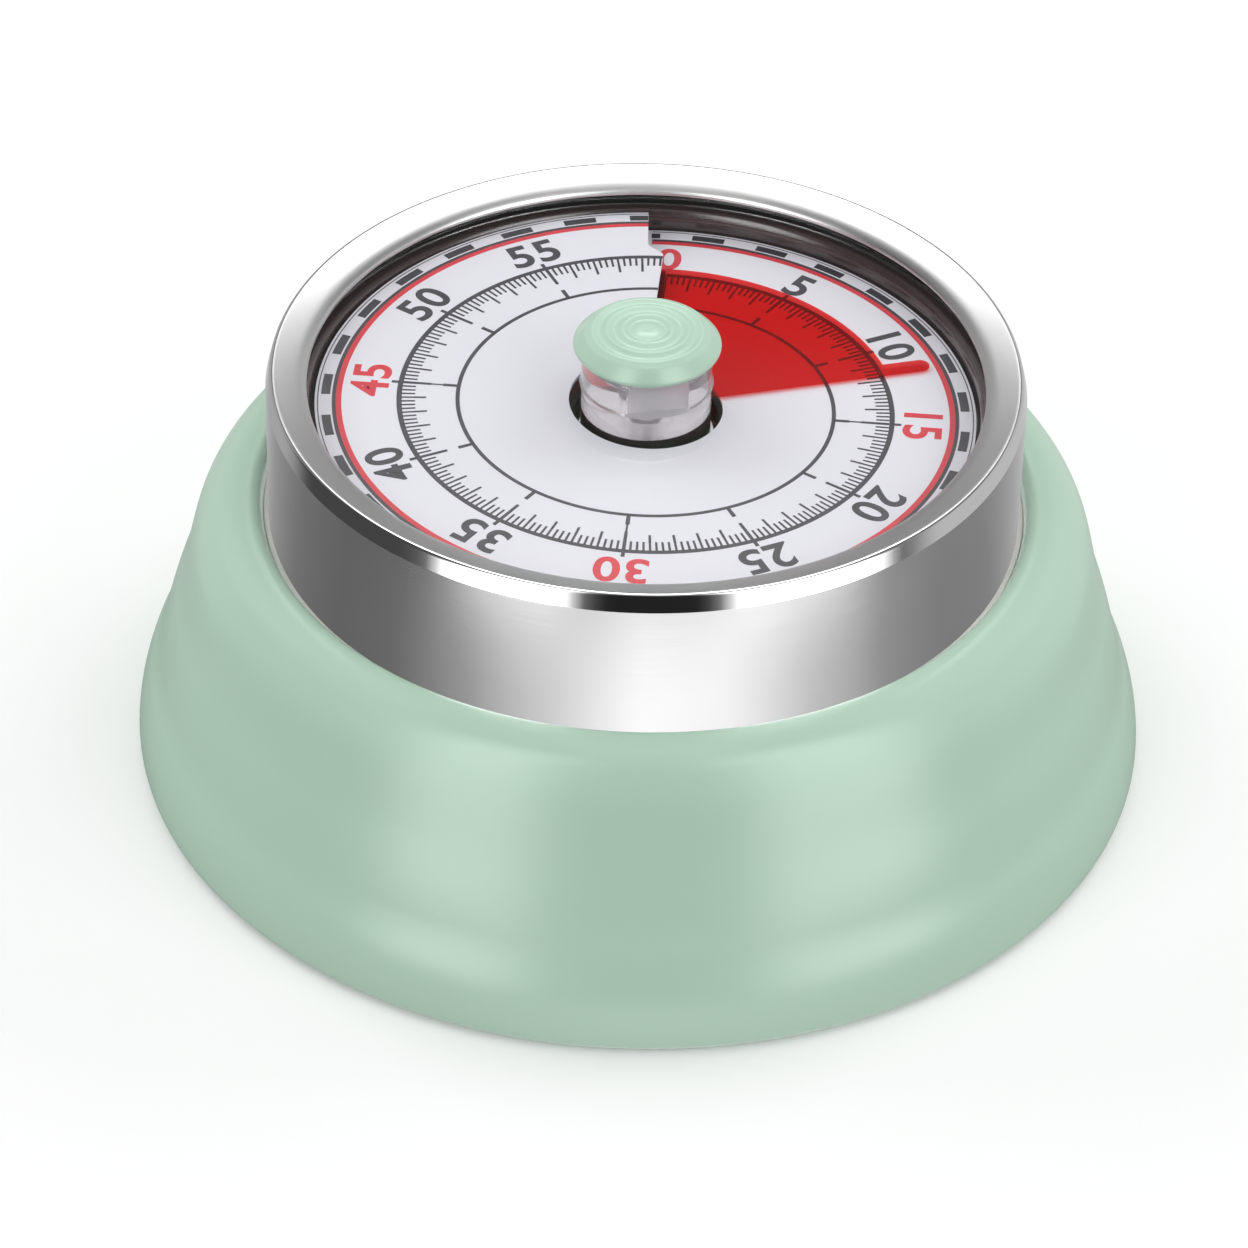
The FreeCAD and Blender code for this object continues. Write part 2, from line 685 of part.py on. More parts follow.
def make_hammer():
    """The hammer's arbor, its pallet arms and pins, its arm and head, and its flag on top."""
    arbor, ends = make_anchor("hammer_arbor", HAMMER, STRIKE, STRIKE_PIN, STRIKE_SPAN, "9.9")
    posts(arbor, "shaft_radius", [HAMMER], "4.0", "front_plate_low - 0.1 - 4.0")
    posts(arbor, "pivot_radius", [HAMMER], "front_plate_low - 0.2", "2.0")
    make_pins("hammer_pins", ends, "10.4", 1.1)
    gap = math.tan(PALLET_ROCK) * size("hammer_length") + size("running_gap")
    head_reach = size("bell_radius") + gap + size("hammer_head")
    reach, length = HAMMER_REACH, size("hammer_length")
    aside = math.degrees(math.acos((reach ** 2 + head_reach ** 2 - length ** 2) / (2 * reach * head_reach)))
    head = polar(head_reach, STRIKE_ANGLE - aside)
    arm = new_body("hammer_arm")
    sketch = new_sketch(arm, height="4.0")
    circle(sketch, "1.3", HAMMER)
    padded(arm, sketch, "1.2")
    bar(arm, HAMMER, head, 1.0, "4.1", "1.0")
    posts(arm, "hammer_head", [head], "3.5", "2.0")
    holes(arm, "shaft_radius", [HAMMER], "3.9", "2")
    flag = new_body("hammer_flag")
    bar(flag, HAMMER, HAMMER + (RELEASE - HAMMER).normalize() * 3.0, 0.8, "15.5", "0.6")
    holes(flag, "pivot_radius", [HAMMER], "15.4", "1")


# the release lever: its follower rides on the cam, its tail stands beside the hammer's flag
FOLLOWER_ANGLE = 345.0
FOLLOWER_RADIUS = 0.5
FOLLOWER = polar(size("cam_radius") + FOLLOWER_RADIUS + 0.05, FOLLOWER_ANGLE)
RELEASE = FOLLOWER + polar(9.0, FOLLOWER_ANGLE - 90)
FLAG_WAY = (RELEASE - HAMMER).normalize()
RELEASE_TAIL = HAMMER + FLAG_WAY * 2.9 + V(FLAG_WAY.y, -FLAG_WAY.x, 0) * 1.4


def make_release():
    lever = new_body("release_lever")
    bar(lever, RELEASE, FOLLOWER, 2 * FOLLOWER_RADIUS, "15.5", "0.6")
    bar(lever, RELEASE, RELEASE_TAIL, 2 * FOLLOWER_RADIUS, "15.5", "0.6")
    posts(lever, "1.2", [RELEASE], "15.4", "0.8")
    holes(lever, "0.6 + running_gap", [RELEASE], "15.3", "2")
    make_stud("release_stud", 0.6, 1.2, RELEASE, "front_plate_low + plate_sheet")
    spring = new_body("release_spring")
    middle = (RELEASE + FOLLOWER) * 0.5 + polar(0.62, FOLLOWER_ANGLE)
    start = RELEASE_POST + (middle - RELEASE_POST).normalize() * 0.72
    bar(spring, start, middle, 0.2, "15.5", "0.6")


RELEASE_POST = RELEASE + polar(6.5, 20)


def make_strike_cam():
    """A cam with one notch that stands at the follower when the dial reads zero, and above it
    an arm that meets the stop pin at each end of the travel."""
    body = new_body("strike_cam")
    sketch = new_sketch(body, height="15.5")
    circle(sketch, "cam_radius")
    padded(body, sketch, "0.6")
    notch = new_sketch(body, height="15.5")
    depth = size("cam_radius") - size("cam_notch")
    corners = [polar(depth, -5), polar(depth, 5), polar(size("cam_radius") + 0.5, 9),
               polar(size("cam_radius") + 0.5, -9)]
    for here, there in zip(corners, corners[1:] + corners[:1]):
        notch.addGeometry(Part.LineSegment(here, there), False)
    pocketed(body, notch, "0.6")
    posts(body, "3.0", [V(0, 0, 0)], "16.1", "0.4")
    at_zero = STOP_ANGLE - STOP_MARGIN - FOLLOWER_ANGLE
    bar(body, V(0, 0, 0), polar(size("stop_radius") + 0.4, at_zero), 2 * size("stop_half"), "16.5", "0.6")
    posts(body, "3.0", [V(0, 0, 0)], "16.5", "0.6")
    holes(body, "arbor_radius", [V(0, 0, 0)], "15.4", "2.5")
    turn_to(body, FOLLOWER_ANGLE - READING)


STOP_ANGLE = 30.0


def make_click():
    """The ratchet drives the great wheel through a click as the spring lets down."""
    step = 360 / size("ratchet_teeth")
    make_saw_wheel("ratchet_wheel", "ratchet_teeth", "ratchet_radius", 0.7, "8.7", "arbor_radius", V(0, 0, 0))
    tip_turn = 5 * step
    tip_radius = 0.22
    tip = polar(size("ratchet_radius") - 0.35, tip_turn + 4.6)
    pivot = tip + polar(6.2, tip_turn + 78)
    click = new_body("click")
    bar(click, pivot, tip, 2 * tip_radius, "8.7", "0.5")
    posts(click, "1.1", [pivot], "8.7", "0.5")
    holes(click, "0.5 + running_gap", [pivot], "8.6", "1")
    make_stud("click_stud", 0.5, 0.9, pivot, "8.5")
    spring = new_body("click_spring")
    outside = (pivot * 0.4 + tip * 0.6) + polar(0.36, tip_turn)
    bar(spring, polar(9.6, tip_turn + 12), outside, 0.2, "8.7", "0.5")
    posts(spring, "0.5", [polar(9.6, tip_turn + 12)], "8.5", "0.7")


def make_mainspring():
    """A flat coil of half circles whose centres alternate, so each turn lies one step outside
    the last, with its outer end on the spring post."""
    half = size("spring_sheet") / 2
    radius = size("arbor_radius") + half
    step = 0.5
    centre_x, side = 0.0, 1
    inner, outer = [], []
    while radius < size("spring_radius"):
        centre = V(centre_x, 0, 0)
        ends = [centre + V(side * sign, 0, 0) for sign in (1, -1)]
        for edges, shift in ((inner, -half), (outer, half)):
            start = centre + V(side * (radius + shift), 0, 0)
            top = centre + V(0, side * (radius + shift), 0)
            end = centre - V(side * (radius + shift), 0, 0)
            edges.append(Part.Arc(start, top, end).toShape())
        centre_x += side * step
        radius += step
        side = -side
    first = Part.LineSegment(inner[0].Vertexes[0].Point, outer[0].Vertexes[0].Point).toShape()
    last = Part.LineSegment(inner[-1].Vertexes[-1].Point, outer[-1].Vertexes[-1].Point).toShape()
    wire = Part.Wire(Part.__sortEdges__(inner + outer + [first, last]))
    coil = Part.Face(wire).extrude(V(0, 0, size("spring_top") - size("spring_low")))
    spring = doc.addObject("Part::Feature", "mainspring")
    spring.Label = "mainspring"
    spring.Shape = coil
    spring.Placement = FreeCAD.Placement(V(0, 0, size("spring_low")), FreeCAD.Rotation(Z_AXIS, 20))


def make_movement_plates():
    """Two round plates with the bearing holes, held apart by pillars."""
    arbors = [SECOND, THIRD, ESCAPE, BALANCE, STRIKE]
    pillars = [polar(size("pillar_reach"), angle) for angle in (0, 120, 240)]
    fixings = [polar(size("pillar_reach"), angle) for angle in (60, 180, 300)]
    back = new_body("back_plate")
    sketch = new_sketch(back, height="back_plate_low")
    circle(sketch, "plate_radius")
    padded(back, sketch, "plate_sheet")
    holes(back, "pivot_radius + running_gap", arbors, "back_plate_low", "plate_sheet")
    holes(back, "1.0 + running_gap", [V(0, 0, 0)], "back_plate_low", "plate_sheet")
    holes(back, "shaft_radius + running_gap", [HAMMER], "back_plate_low", "plate_sheet")
    front = new_body("front_plate")
    sketch = new_sketch(front, height="front_plate_low")
    circle(sketch, "plate_radius")
    padded(front, sketch, "plate_sheet")
    posts(front, "0.6", [RELEASE_POST], "front_plate_low + plate_sheet - 0.1", "1.9")
    holes(front, "pivot_radius + running_gap", arbors + [HAMMER], "front_plate_low", "plate_sheet")
    holes(front, "arbor_radius + running_gap", [V(0, 0, 0)], "front_plate_low", "plate_sheet")
    holes(front, "0.9", pillars + fixings, "front_plate_low", "plate_sheet")
    posts_body = new_body("plate_pillars_one")
    sketch = new_sketch(posts_body, height="back_plate_low + plate_sheet")
    circle(sketch, "pillar_radius", pillars[0])
    padded(posts_body, sketch, "front_plate_low - back_plate_low - plate_sheet")
    holes(posts_body, "0.7", [pillars[0]], "front_plate_low", "3", upward=False)
    group = doc.addObject("Part::Feature", "plate_pillars")
    doc.recompute()
    group.Shape = Part.Compound([posts_body.Shape.copy().rotated(V(0, 0, 0), Z_AXIS, turn)
                                 for turn in (0, 120, 240)])
    group.Label = "plate_pillars"
    make_screws("plate_screws", pillars, "front_plate_low + plate_sheet", 1.5, 0.8, 0.7, 2.6, up=False)
    make_screws("movement_screws", fixings, "front_plate_low - 0.9", 1.5, 0.9, 0.7, 2.8)


def make_main_arbor():
    body = new_body("main_arbor")
    turned(body, [
        ("0", "back_plate_low + 0.05"),
        ("1.0", "back_plate_low + 0.05"),
        ("1.0", "back_plate_low + plate_sheet + 0.05"),
        ("arbor_radius", "back_plate_low + plate_sheet + 0.05"),
        ("arbor_radius", "27"),
        ("0.95", "27"),
        ("0.95", "22.5"),
        ("0", "22.5"),
    ])


def make_stud(name, radius, height, spot, low):
    stud = doc.addObject("Part::Cylinder", name)
    stud.Label = name
    stud.Radius, stud.Height = radius, height
    stud.Placement.Base = V(spot.x, spot.y, 0)
    stud.setExpression(".Placement.Base.z", bound(low))
    return stud


def make_bell():
    body = new_body("bell")
    turned(body, [
        ("0.75", "bell_top - bell_sheet"),
        ("bell_radius - 2.4", "bell_top - bell_sheet", -0.4),
        ("bell_radius - bell_sheet", "bell_low"),
        ("bell_radius", "bell_low", 0.55),
        ("bell_radius - 2.2", "bell_top"),
        ("0.75", "bell_top"),
    ])


make_base_shell()
make_base_plate()
make_ring("foot_ring", "foot_inner", "foot_outer", "0", "foot_height")
make_ring("magnet", "magnet_inner", "magnet_outer", "magnet_floor", "plate_seat")
make_screws("base_screws", [polar(size("base_boss_reach"), angle) for angle in (30, 150, 270)],
            "rim_low", 2.0, 0.3, 0.85, 8.0)
make_ring("glide_ring", "carrier_radius + 0.45", "opening_radius - 0.1", "groove_floor", "ring_low - 0.02")
make_bezel_ring()
make_window_lens()
make_knob_cap()
make_film_hub()
make_red_film()
make_dial()
make_dial_carrier()
make_screws("carrier_screws", [polar(14, angle) for angle in (30, 150, 270)], "deck_low - 0.8",
            1.8, 0.8, 0.75, 5.0)
make_screws("knob_screw", [V(0, 0, 0)], "boss_top - 1.6", 2.0, 0.8, 0.9, 6.0, up=False)
make_main_arbor()
make_train()
make_saw_wheel("escape_wheel", "escape_teeth", "escape_radius", 0.8, "12.9", "shaft_radius", ESCAPE)
make_saw_wheel("strike_wheel", "strike_teeth", "strike_radius", 0.7, "10.6", "shaft_radius", STRIKE)
make_balance()
make_hammer()
make_release()
make_strike_cam()
make_click()
make_mainspring()
make_movement_plates()
make_stud("spring_post", 0.5, 4.6, polar(size("spring_radius") + 1.0, 20), "front_plate_low - 4.6")
make_stud("stop_pin", size("stop_half"), 2.0, polar(size("stop_radius"), STOP_ANGLE),
          "front_plate_low + plate_sheet")
make_bell()
make_screws("bell_screw", [V(0, 0, 0)], "bell_top", 1.6, 0.6, 0.65, 2.8, up=False)

NODES = (
    "base_shell", "base_plate", "foot_ring", "magnet", "base_screws", "glide_ring", "bezel_ring",
    "window_lens", "knob_cap", "knob_screw", "film_hub", "red_film", "dial", "dial_carrier",
    "carrier_screws", "main_arbor", "great_wheel", "second_arbor", "second_wheel", "third_arbor",
    "third_wheel", "escape_arbor", "escape_wheel", "strike_arbor", "strike_wheel", "balance_staff",
    "pallet_pins", "balance_wheel", "hammer_arbor", "hammer_pins", "hammer_arm", "hammer_flag",
    "release_lever", "release_stud", "release_spring", "strike_cam", "ratchet_wheel", "click",
    "click_stud", "click_spring", "mainspring", "spring_post", "front_plate", "back_plate",
    "plate_pillars", "plate_screws", "movement_screws", "stop_pin", "bell", "bell_screw",
)

doc.recompute()
faults = [item.Name for item in doc.Objects if {"Invalid", "Error"} & set(item.State)]
if faults:
    raise RuntimeError(f"these objects failed: {faults}")
os.makedirs("parts", exist_ok=True)
for node in NODES:
    piece = doc.getObjectsByLabel(node)[0]
    if piece.Shape.isNull() or not piece.Shape.isValid() or not piece.Shape.Solids:
        raise RuntimeError(f"{node} has no valid solid")
    piece.Shape.exportStep(f"parts/{node}.step")
print(f"{len(NODES)} sub-parts written")
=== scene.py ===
"""Looks of a wind-up kitchen timer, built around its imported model. Sizes are in millimetres
until a mesh is made, +Z is up and the timer's axis is the Z axis."""

import math

import bmesh
import bpy
from bpy.props import FloatProperty, FloatVectorProperty, IntProperty, PointerProperty
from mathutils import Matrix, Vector


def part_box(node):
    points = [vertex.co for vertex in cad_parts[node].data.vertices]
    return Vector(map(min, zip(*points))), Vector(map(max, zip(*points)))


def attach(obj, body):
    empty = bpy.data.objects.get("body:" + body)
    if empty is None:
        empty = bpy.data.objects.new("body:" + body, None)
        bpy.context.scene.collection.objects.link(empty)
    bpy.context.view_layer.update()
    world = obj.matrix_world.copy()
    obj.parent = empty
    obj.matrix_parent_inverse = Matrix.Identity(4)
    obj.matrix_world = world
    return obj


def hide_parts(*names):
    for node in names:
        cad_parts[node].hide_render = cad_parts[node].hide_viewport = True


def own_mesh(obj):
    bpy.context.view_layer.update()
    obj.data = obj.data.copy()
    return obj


bl_info = {
    "name": "Wind-up kitchen timer",
    "version": (1, 0, 0),
    "blender": (4, 5, 0),
    "location": "3D View > Sidebar > Timer",
    "description": "Builds the visible pieces, finishes and studio of a wind-up kitchen timer",
    "category": "Add Mesh",
}

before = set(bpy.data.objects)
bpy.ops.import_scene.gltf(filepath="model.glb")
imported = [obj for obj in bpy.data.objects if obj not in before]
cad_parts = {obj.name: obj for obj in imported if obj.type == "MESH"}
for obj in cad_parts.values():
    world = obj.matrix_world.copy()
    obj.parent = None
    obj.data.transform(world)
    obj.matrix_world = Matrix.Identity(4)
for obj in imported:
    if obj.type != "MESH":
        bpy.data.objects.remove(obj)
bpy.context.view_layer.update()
MM = 0.001
TURN = 2 * math.pi
LATHE_STEPS = 256
DIAL_ZERO = 4.2
READING = 71.0


def cad_box(node):
    """A node's lowest and highest corners in millimetres."""
    low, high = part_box(node)
    return [value / MM for value in low], [value / MM for value in high]


DIAL_LOW = cad_box("dial")[0][2] + 0.25
DIAL_RISE = cad_box("dial")[1][2] - DIAL_LOW
DIAL_EDGE = cad_box("dial")[1][0]
WINDOW_LOW = cad_box("window_lens")[0][2]
BOSS_TOP = cad_box("window_lens")[1][2]
CAP_TOP = cad_box("knob_cap")[1][2]
RING_TOP = cad_box("bezel_ring")[1][2]
BASE_TOP = cad_box("base_shell")[1][2]


# ---------------------------------------------------------------- settings

def length(name, description, default):
    return FloatProperty(name=name, description=description, default=default * MM, min=0.0, unit="LENGTH", precision=5)


def colour(name, description, default):
    return FloatVectorProperty(
        name=name, description=description, default=default, size=3, min=0.0, max=1.0, subtype="COLOR"
    )


class TimerSizes(bpy.types.PropertyGroup):
    """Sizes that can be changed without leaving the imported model's box."""

    digit_height: length("Digit height", "Height of the dial's numbers", 2.65)
    tick_width: length("Tick width", "Width of one quarter-minute tick", 0.16)
    tick_length: length("Tick length", "Length of a quarter-minute tick", 0.95)
    ink: length("Ink thickness", "How far the print stands above the dial", 0.012)
    dash_count: IntProperty(name="Border dashes", description="Number of dashes round the dial's edge", default=30, min=1)


class TimerColours(bpy.types.PropertyGroup):
    """Colours of the finishes."""

    mint: colour("Mint", "Plastic of the base and the knob", (0.406, 0.645, 0.586))
    steel: colour("Steel", "Turning ring", (0.70, 0.70, 0.70))
    dial: colour("Dial", "Printed sheet", (0.76, 0.755, 0.80))
    black_ink: colour("Black ink", "Scale and numbers", (0.028, 0.026, 0.033))
    red_ink: colour("Red ink", "Quarter-hour numbers and border", (0.62, 0.03, 0.045))
    film: colour("Film", "Red film that shows the time left", (0.80, 0.022, 0.022))
    cup: colour("Cup", "Dark cup round the dial", (0.035, 0.018, 0.018))


# ---------------------------------------------------------------- mesh helpers

def link(name, mesh):
    piece = bpy.data.objects.new(name, mesh)
    bpy.context.scene.collection.objects.link(piece)
    return piece


def finish_mesh(mesh, crease=32.0):
    """Points the faces outward and shades them smoothly up to a crease angle."""
    work = bmesh.new()
    work.from_mesh(mesh)
    bmesh.ops.remove_doubles(work, verts=work.verts, dist=1e-8)
    bmesh.ops.recalc_face_normals(work, faces=work.faces)
    work.to_mesh(mesh)
    work.free()
    mesh.polygons.foreach_set("use_smooth", [True] * len(mesh.polygons))
    mesh.set_sharp_from_angle(angle=math.radians(crease))
    mesh.update()


def mesh_from(name, points, faces, crease=32.0):
    mesh = bpy.data.meshes.new(name)
    mesh.from_pydata([(x * MM, y * MM, z * MM) for x, y, z in points], [], faces)
    finish_mesh(mesh, crease)
    return mesh


def through(points, steps):
    """A smooth line through points."""
    line = []
    for index in range(len(points) - 1):
        before = points[max(index - 1, 0)]
        here, there = points[index], points[index + 1]
        after = points[min(index + 2, len(points) - 1)]
        for step in range(steps):
            t = step / steps
            line.append(tuple(
                0.5 * (2 * b + (c - a) * t + (2 * a - 5 * b + 4 * c - d) * t * t + (3 * b - a - 3 * c + d) * t ** 3)
                for a, b, c, d in zip(before, here, there, after)
            ))
    line.append(points[-1])
    return line


def rounded(corners, steps=6):
    """A closed section whose corners (r, z, radius) are rounded."""
    line = []
    for index, corner in enumerate(corners):
        spot = Vector(corner[:2])
        reach = corner[2] if len(corner) > 2 else 0.0
        if reach <= 0:
            line.append(tuple(spot))
            continue
        before = Vector(corners[index - 1][:2]) - spot
        after = Vector(corners[(index + 1) % len(corners)][:2]) - spot
        start = spot + before.normalized() * min(reach, before.length * 0.49)
        end = spot + after.normalized() * min(reach, after.length * 0.49)
        for step in range(steps + 1):
            t = step / steps
            line.append(tuple(start * (1 - t) ** 2 + spot * 2 * t * (1 - t) + end * t * t))
    return line


def lathe(name, section, steps=LATHE_STEPS, crease=32.0, dent=None):
    """A closed section in r and z turned round the Z axis. A dent may move a point inward."""
    points, rows, faces = [], [], []
    for r, z in section:
        if r < 1e-6:
            rows.append([len(points)] * steps)
            points.append((0.0, 0.0, z))
            continue
        rows.append(list(range(len(points), len(points) + steps)))
        for step in range(steps):
            angle = TURN * step / steps
            x, y = r * math.cos(angle), r * math.sin(angle)
            points.append(dent(x, y, z) if dent else (x, y, z))
    for index, row in enumerate(rows):
        other = rows[(index + 1) % len(rows)]
        for step in range(steps):
            corners = [row[step], row[(step + 1) % steps], other[(step + 1) % steps], other[step]]
            face = list(dict.fromkeys(corners))
            if len(face) > 2:
                faces.append(face)
    return mesh_from(name, points, faces, crease)


def dial_spot(radius, angle, lift=0.0):
    """A point over the dial: the angle is clockwise from its zero, the lift above its face."""
    turn = math.radians(angle + DIAL_ZERO)
    return radius * math.sin(turn), radius * math.cos(turn), DIAL_LOW + DIAL_RISE * angle / 360 + lift


def helical_band(inner, outer, first, last, low, high, steps):
    """Points and faces of a closed band that follows the dial."""
    points, faces = [], []
    for step in range(steps + 1):
        angle = first + (last - first) * step / steps
        points += [dial_spot(inner, angle, low), dial_spot(outer, angle, low), dial_spot(outer, angle, high), dial_spot(inner, angle, high)]
        if step:
            old, new = 4 * step - 4, 4 * step
            faces += [[old + side, old + (side + 1) % 4, new + (side + 1) % 4, new + side] for side in range(4)]
    end = 4 * steps
    return points, [*faces, [0, 1, 2, 3], [end + 3, end + 2, end + 1, end]]


def merged(parts):
    """Several sets of points and faces as one."""
    points, faces = [], []
    for some_points, some_faces in parts:
        start = len(points)
        points += some_points
        faces += [[start + corner for corner in face] for face in some_faces]
    return points, faces


def thickened(mesh, thickness):
    """A closed sheet from a surface whose faces look up."""
    piece = link(mesh.name + "_surface", mesh)
    solid = piece.modifiers.new("thickness", "SOLIDIFY")
    solid.thickness = thickness * MM
    solid.offset = -1
    result = bpy.data.meshes.new_from_object(piece.evaluated_get(bpy.context.evaluated_depsgraph_get()))
    bpy.data.objects.remove(piece)
    finish_mesh(result, 40.0)
    return result


def surface(name, rows):
    """A surface that looks up, from rows of points."""
    width = len(rows[0])
    points = [spot for row in rows for spot in row]
    faces = []
    for line in range(len(rows) - 1):
        for step in range(width - 1):
            corner = line * width + step
            faces.append([corner, corner + width, corner + width + 1, corner + 1])
    mesh = bpy.data.meshes.new(name)
    mesh.from_pydata([(x * MM, y * MM, z * MM) for x, y, z in points], [], faces)
    if mesh.polygons[0].normal.z < 0:
        mesh.flip_normals()
    return mesh


def place(piece, body, slot, *nodes):
    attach(piece, body)
    if nodes:
        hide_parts(*nodes)


# ---------------------------------------------------------------- finishes

def new_finish(name, **sockets):
    """A plain shader with its constants set on its own sockets."""
    material = bpy.data.materials.new(name)
    material.use_nodes = True
    shader = material.node_tree.nodes["Principled BSDF"]
    for socket, value in sockets.items():
        target = shader.inputs[socket.replace("_", " ")]
        target.default_value = (*value, 1.0) if hasattr(value, "__len__") else value
    return material


def node(material, kind, **values):
    made = material.node_tree.nodes.new(kind)
    for key, value in values.items():
        setattr(made, key, value)
    return made


def wire(material, source, target):
    material.node_tree.links.new(source, target)


def noise(material, scale, detail=2.0, stretch=(1.0, 1.0, 1.0)):
    """Noise on object coordinates; the scale is in lumps a metre."""
    where = node(material, "ShaderNodeTexCoord")
    mapping = node(material, "ShaderNodeMapping")
    mapping.inputs["Scale"].default_value = stretch
    made = node(material, "ShaderNodeTexNoise")
    made.inputs["Scale"].default_value = scale
    made.inputs["Detail"].default_value = detail
    wire(material, where.outputs["Object"], mapping.inputs["Vector"])
    wire(material, mapping.outputs["Vector"], made.inputs["Vector"])
    return made.outputs["Fac"]


def turned_noise(material, scale, along=0.02):
    """Noise drawn out along circles round the Z axis, as turning leaves it."""
    where = node(material, "ShaderNodeTexCoord")
    parts = node(material, "ShaderNodeSeparateXYZ")
    wire(material, where.outputs["Object"], parts.inputs["Vector"])
    reach = node(material, "ShaderNodeVectorMath", operation="LENGTH")
    flat = node(material, "ShaderNodeCombineXYZ")
    wire(material, parts.outputs["X"], flat.inputs["X"])
    wire(material, parts.outputs["Y"], flat.inputs["Y"])
    wire(material, flat.outputs["Vector"], reach.inputs[0])
    angle = node(material, "ShaderNodeMath", operation="ARCTAN2")
    wire(material, parts.outputs["Y"], angle.inputs[0])
    wire(material, parts.outputs["X"], angle.inputs[1])
    slow = node(material, "ShaderNodeMath", operation="MULTIPLY")
    slow.inputs[1].default_value = along * 0.02
    wire(material, angle.outputs["Value"], slow.inputs[0])
    joined = node(material, "ShaderNodeCombineXYZ")
    wire(material, reach.outputs["Value"], joined.inputs["X"])
    wire(material, slow.outputs["Value"], joined.inputs["Y"])
    wire(material, parts.outputs["Z"], joined.inputs["Z"])
    made = node(material, "ShaderNodeTexNoise")
    made.inputs["Scale"].default_value = scale
    made.inputs["Detail"].default_value = 3.0
    wire(material, joined.outputs["Vector"], made.inputs["Vector"])
    return made.outputs["Fac"]


def shader_of(material):
    return material.node_tree.nodes["Principled BSDF"]


def bumped(material, height, strength, distance=0.0001):
    bump = node(material, "ShaderNodeBump")
    bump.inputs["Strength"].default_value = strength
    bump.inputs["Distance"].default_value = distance
    wire(material, height, bump.inputs["Height"])
    wire(material, bump.outputs["Normal"], shader_of(material).inputs["Normal"])


def spread(material, source, low, high):
    """A factor mapped to a range."""
    reach = node(material, "ShaderNodeMapRange")
    reach.inputs["To Min"].default_value = low
    reach.inputs["To Max"].default_value = high
    wire(material, source, reach.inputs["Value"])
    return reach.outputs["Result"]


def roughened(material, source, low, high):
    wire(material, spread(material, source, low, high), shader_of(material).inputs["Roughness"])


def tinted(material, source, dark, light):
    """Colour that wanders between two near tones."""
    mix = node(material, "ShaderNodeMix", data_type="RGBA")
    mix.inputs["A"].default_value = (*dark, 1.0)
    mix.inputs["B"].default_value = (*light, 1.0)
    wire(material, source, mix.inputs["Factor"])
    wire(material, mix.outputs["Result"], shader_of(material).inputs["Base Color"])


def shade(tone, factor):
    return tuple(min(1.0, value * factor) for value in tone)


def plastic(name, tone, roughness, grain, lumps=900.0, spread_by=0.03):
    """Moulded plastic: a slow drift of tone, a fine skin and a little wear in its gloss."""
    material = new_finish(name, IOR=1.5)
    tinted(material, noise(material, 60.0), shade(tone, 1 - spread_by), shade(tone, 1 + spread_by))
    roughened(material, noise(material, 400.0, 3.0), roughness * 0.85, roughness * 1.2)
    bumped(material, noise(material, lumps, 3.0), grain)
    return material


def metal(name, tone, roughness, grain=0.08, lines=9000.0, turned=True, anisotropy=0.0):
    """Drawn or turned metal with fine lines."""
    material = new_finish(name, Metallic=1.0, Anisotropic=anisotropy)
    pattern = turned_noise(material, lines) if turned else noise(material, lines / 6, 3.0)
    tinted(material, noise(material, 120.0), shade(tone, 0.94), shade(tone, 1.04))
    roughened(material, pattern, roughness * 0.8, roughness * 1.2)
    bumped(material, pattern, grain, 0.00002)
    if anisotropy:
        tangent = node(material, "ShaderNodeTangent", direction_type="RADIAL", axis="Z")
        wire(material, tangent.outputs["Tangent"], shader_of(material).inputs["Tangent"])
    return material


def fill_slots(piece, *materials):
    piece.data.materials.clear()
    for material in materials:
        piece.data.materials.append(material)


# ---------------------------------------------------------------- studio

CAMERA_PLACE = (0.0, -269.82, 218.63)
CAMERA_TURN = (52.0489, -1.0369, 1.0495)
CAMERA_LENS = 141.43
TENT_RADIUS = 700.0
FLOOR_MIRROR = 64.0
FLOOR_LIFT = 0.16
# Brightness of the tent by azimuth from the front, positive to the right, and elevation, in degrees:
# (left, right, low, high, soft edge, brightness).
TENT_PATCHES = (
    (-180, 180, -90, 90, 1, 0.20),
    (-112, -62, -90, 60, 8, 0.07),
    (-162, -116, -90, 30, 10, 0.45),
    (82, 162, -90, 30, 8, 0.60),
    (-53, -22, -90, 62, 8, 4.2),
    (28, 66, -90, 62, 9, 4.0),
    (-14, 20, -90, 60, 6, 0.02),
    (-180, -155, 39, 88, 2, 1.6),
    (155, 180, 39, 88, 2, 1.6),
    (-180, -150, 50, 64, 5, 7.0),
    (150, 180, 50, 64, 5, 7.0),
    (-180, 180, 77, 90, 4, 0.7),
)
# Below these elevations the tent shows what the floor shows, which is its painted light.
TENT_SKIRT = (-32, -25)
# Painted light on the floor as reflections see it, standing in for how the lamps light it; the ring's wall shows it.
# Azimuth and brightness:
FLOOR_PAINTED_LIGHT = (
    (-180, 1.20), (-160, 0.95), (-140, 0.62), (-120, 0.36), (-100, 0.22), (-80, 0.17), (-60, 0.19), (-40, 0.38),
    (-20, 0.85), (0, 1.45), (20, 1.30), (40, 0.72), (60, 0.36), (80, 0.27), (100, 0.28), (120, 0.45), (140, 0.64),
    (160, 0.90), (180, 1.20),
)


def ramp(value, low, high):
    share = min(1.0, max(0.0, (value - low) / (high - low)))
    return share * share * (3 - 2 * share)


